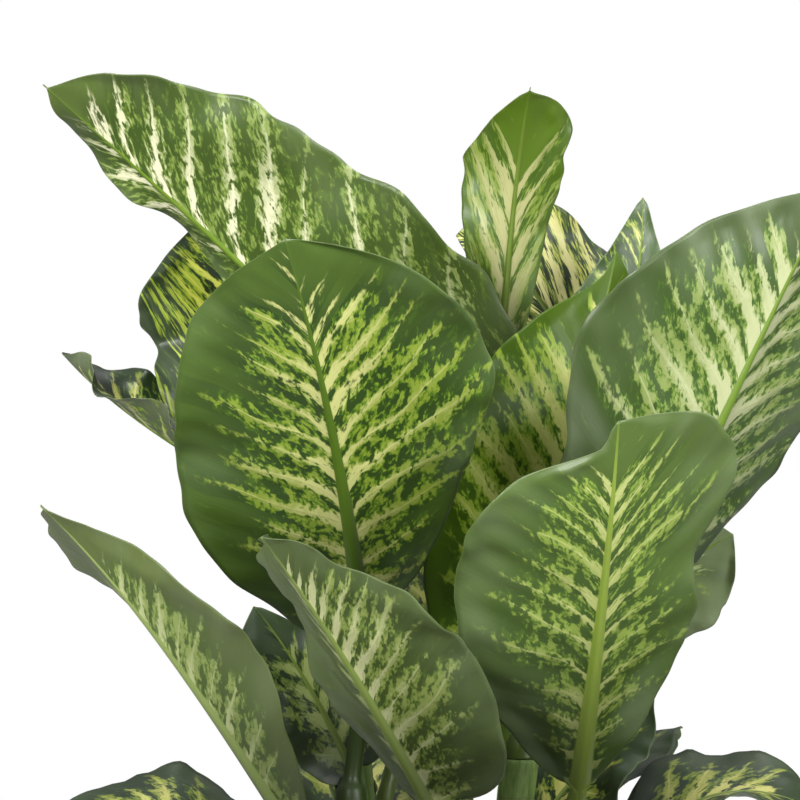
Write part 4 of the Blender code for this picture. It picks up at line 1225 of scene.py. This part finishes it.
# %% [markdown]
# The skin of a cane is green where it is young and turns grey and corky towards the soil. The finish
# mixes the two by height, with streaks along the stem and brown at the scars. The heights are in
# millimetres above the soil.

# %% Cane finish
OLD_TO, YOUNG_FROM, AGE_UNEVEN, SCAR_BROWN = 20.0, 70.0, 50.0, 0.6
bench = Bench("cane")
height, turn, scar = bench.values("cane_place")
grain = bench.noise(bench.join(height * 0.05, turn * 26.0, 0.5), detail=3.0, rough=0.6)
blotch = bench.noise(bench.join(height * 0.09, turn * 7.0, 4.5), detail=3.0)
age = height + (blotch - 0.5) * AGE_UNEVEN
streak = bench.fade(grain, 0.35, 0.65)
young = bench.mix(streak, paint(84, 112, 48), paint(122, 146, 76))
old = bench.mix(streak, paint(112, 100, 70), paint(150, 140, 102))
skin = bench.mix(bench.fade(age, OLD_TO, YOUNG_FROM), old, young)
skin = bench.mix(scar * SCAR_BROWN, skin, paint(92, 76, 48))
bench.finish(skin, grain * 0.25 + 0.42)
bench.bump(grain + blotch, 0.5 * MM, strength=0.7)
for piece in cane_pieces:
    piece.data.materials.append(bench.material)
print("nodes in the cane's finish:", len(bench.tree.nodes))

# %% [markdown]
# ## The soil
# Potting soil is crumbly. A bump in the finish alone would leave its edge against the pot dead
# straight, so the crumbs are real form: hundreds of small domes of many sizes raise a fine round
# grid, by a seeded draw, so that they fall in the same places each time. A little soil is heaped
# round each cane.

# %% Build the soil
POT_FOOT_RADIUS, POT_BAND_RADIUS, POT_WALL, RIM_BAND = 68, 90, 2.2, 18
FLOOR_LIFT, FLOOR_TOP, SOIL_CROWN, SOIL_EDGE_DROP = 2, 5, 1, 5
CRUMBS, CRUMB_LEAST, CRUMB_MORE, CRUMB_ROUND, CRUMB_STRETCH = 1500, 1.2, 3.0, 0.62, (0.6, 1.5)
CRUMB_BED, HEAP, HEAP_WIDTH = 1.0, 1.6, 5
SOIL_RINGS, SOIL_SPOKES, SOIL_FIRST_RING, SOIL_LAST_RING = 84, 260, 0.01, 0.02


def inner_radius(z):
    share = z / (POT_TOP - RIM_BAND)
    return POT_FOOT_RADIUS + (POT_BAND_RADIUS - POT_FOOT_RADIUS) * share - POT_WALL


def crumb_heights(x, y):
    """The height that the highest crumb gives each point."""
    draw = np.random.default_rng(7)
    rise = np.zeros(x.shape)
    edge = inner_radius(SOIL_TOP)
    for _ in range(CRUMBS):
        far, turned = edge * np.sqrt(draw.uniform()), draw.uniform(0, 2 * pi)
        size = CRUMB_LEAST + CRUMB_MORE * draw.uniform() ** 3
        stretch = draw.uniform(*CRUMB_STRETCH)
        dx, dy = x - far * np.cos(turned), y - far * np.sin(turned)
        near = 1 - (dx * dx * stretch + dy * dy / stretch) / size ** 2
        rise = np.maximum(rise, size * CRUMB_ROUND * np.sqrt(np.clip(near, 0, None)))
    return rise


def build_soil():
    side = SOIL_TOP - SOIL_EDGE_DROP
    low = FLOOR_TOP + GAP
    foot = inner_radius(0) - 2 * FLOOR_LIFT - 2 * GAP
    edge = inner_radius(side) - 2 * GAP
    radii = edge * np.linspace(SOIL_FIRST_RING, 1, SOIL_RINGS)
    a = 2 * pi * np.arange(SOIL_SPOKES) / SOIL_SPOKES
    x, y = radii[:, None] * np.cos(a), radii[:, None] * np.sin(a)
    level = np.interp(radii, (0, 0.4 * POT_BAND_RADIUS, 0.8 * POT_BAND_RADIUS, edge),
                      (SOIL_TOP + SOIL_CROWN, SOIL_TOP, SOIL_TOP - SOIL_CROWN, side))[:, None]
    z = level - CRUMB_BED + crumb_heights(x, y)
    for cane in CANES.values():
        away = np.hypot(x - cane["foot"][0], y - cane["foot"][1])
        z = z + HEAP * np.exp(-((away - CANE_RADIUS) / HEAP_WIDTH) ** 2)
    rows = list(np.stack([x, y, z], -1))
    above_foot = inner_radius(2 * FLOOR_TOP) - 2 * GAP
    for r, h in ((above_foot, 2 * FLOOR_TOP), (foot, low), (foot * SOIL_LAST_RING, low)):
        rows.append(np.stack([r * np.cos(a), r * np.sin(a), 0 * a + h], -1))
    faces = stack_faces(len(rows), SOIL_SPOKES, rising=False)
    piece = grow_piece("crumbly_soil", "soil", rows, faces)
    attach(piece, "root")
    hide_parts("soil")
    return piece


soil = build_soil()
print("faces in the soil:", len(soil.data.polygons))

# %% [markdown]
# Peat is nearly black when wet and brown when dry, with pale fibres and specks. The finish mixes
# these in patches of three sizes and leaves the surface without any shine.

# %% Soil finish
bench = Bench("soil")
place = bench.on_object()
damp = bench.noise(place, scale=40.0, detail=3.0)
crumb = bench.noise(place, scale=420.0, detail=4.0, rough=0.7)
speck = bench.flakes(place, scale=900.0)
earth = bench.mix(bench.fade(damp, 0.35, 0.7), paint(38, 29, 22), paint(74, 57, 42))
earth = bench.mix(bench.fade(crumb, 0.42, 0.7), earth, paint(98, 78, 58))
earth = bench.mix(bench.fade(speck, 0.955, 0.965), earth, paint(168, 150, 120))
bench.finish(earth, crumb * 0.15 + 0.82)
bench.bump(crumb, 1.2 * MM, strength=0.9)
soil.data.materials.append(bench.material)
print("nodes in the soil's finish:", len(bench.tree.nodes))

# %% [markdown]
# ## The pot
# The plant stands in a plain round grower's pot of dark plastic with a rim band. Its solid is
# already round and thin enough, so it stays as it is and only gets its finish: a fine moulded
# texture, a slightly worn rim, and a little dried soil and lime low on the wall.

# %% Pot finish
RIM_WEAR_FROM, RIM_WEAR_FULL, SOILED_TO = 161 * MM, 164.8 * MM, 45 * MM
WORN_MOST, SOILED_MOST = 0.55, 0.5
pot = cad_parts["pot"]
bench = Bench("pot")
place = bench.on_object()
up_wall = bench.parts(place.socket)[2]
grit = bench.noise(place, scale=1400.0, detail=2.0)
cloud = bench.noise(place, scale=18.0, detail=4.0, rough=0.6)
scuff = bench.noise(place, scale=90.0, detail=5.0, rough=0.75, twist=1.5)
plastic = bench.mix(bench.fade(cloud, 0.3, 0.7), paint(44, 46, 48), paint(54, 56, 57))
worn = bench.fade(up_wall, RIM_WEAR_FROM, RIM_WEAR_FULL) * bench.fade(scuff, 0.42, 0.62)
plastic = bench.mix(worn * WORN_MOST, plastic, paint(104, 104, 100))
soiled = bench.fade(up_wall, SOILED_TO, 0.0) * bench.fade(scuff, 0.5, 0.68)
plastic = bench.mix(soiled * SOILED_MOST, plastic, paint(112, 100, 84))
bench.finish(plastic, cloud * 0.2 + 0.38)
bench.bump(grit, 0.15 * MM, strength=0.6)
pot.data.materials.clear()
pot.data.materials.append(bench.material)
print("pot finished, points in its solid:", len(pot.data.vertices))

# %% [markdown]
# ## Measure and finish
# The grown plant has to fill the same space as its solids, so the box of the solids is printed.

# %% Sizes
print("box of the solids:", [tuple(round(c, 4) for c in v) for v in solid_box])
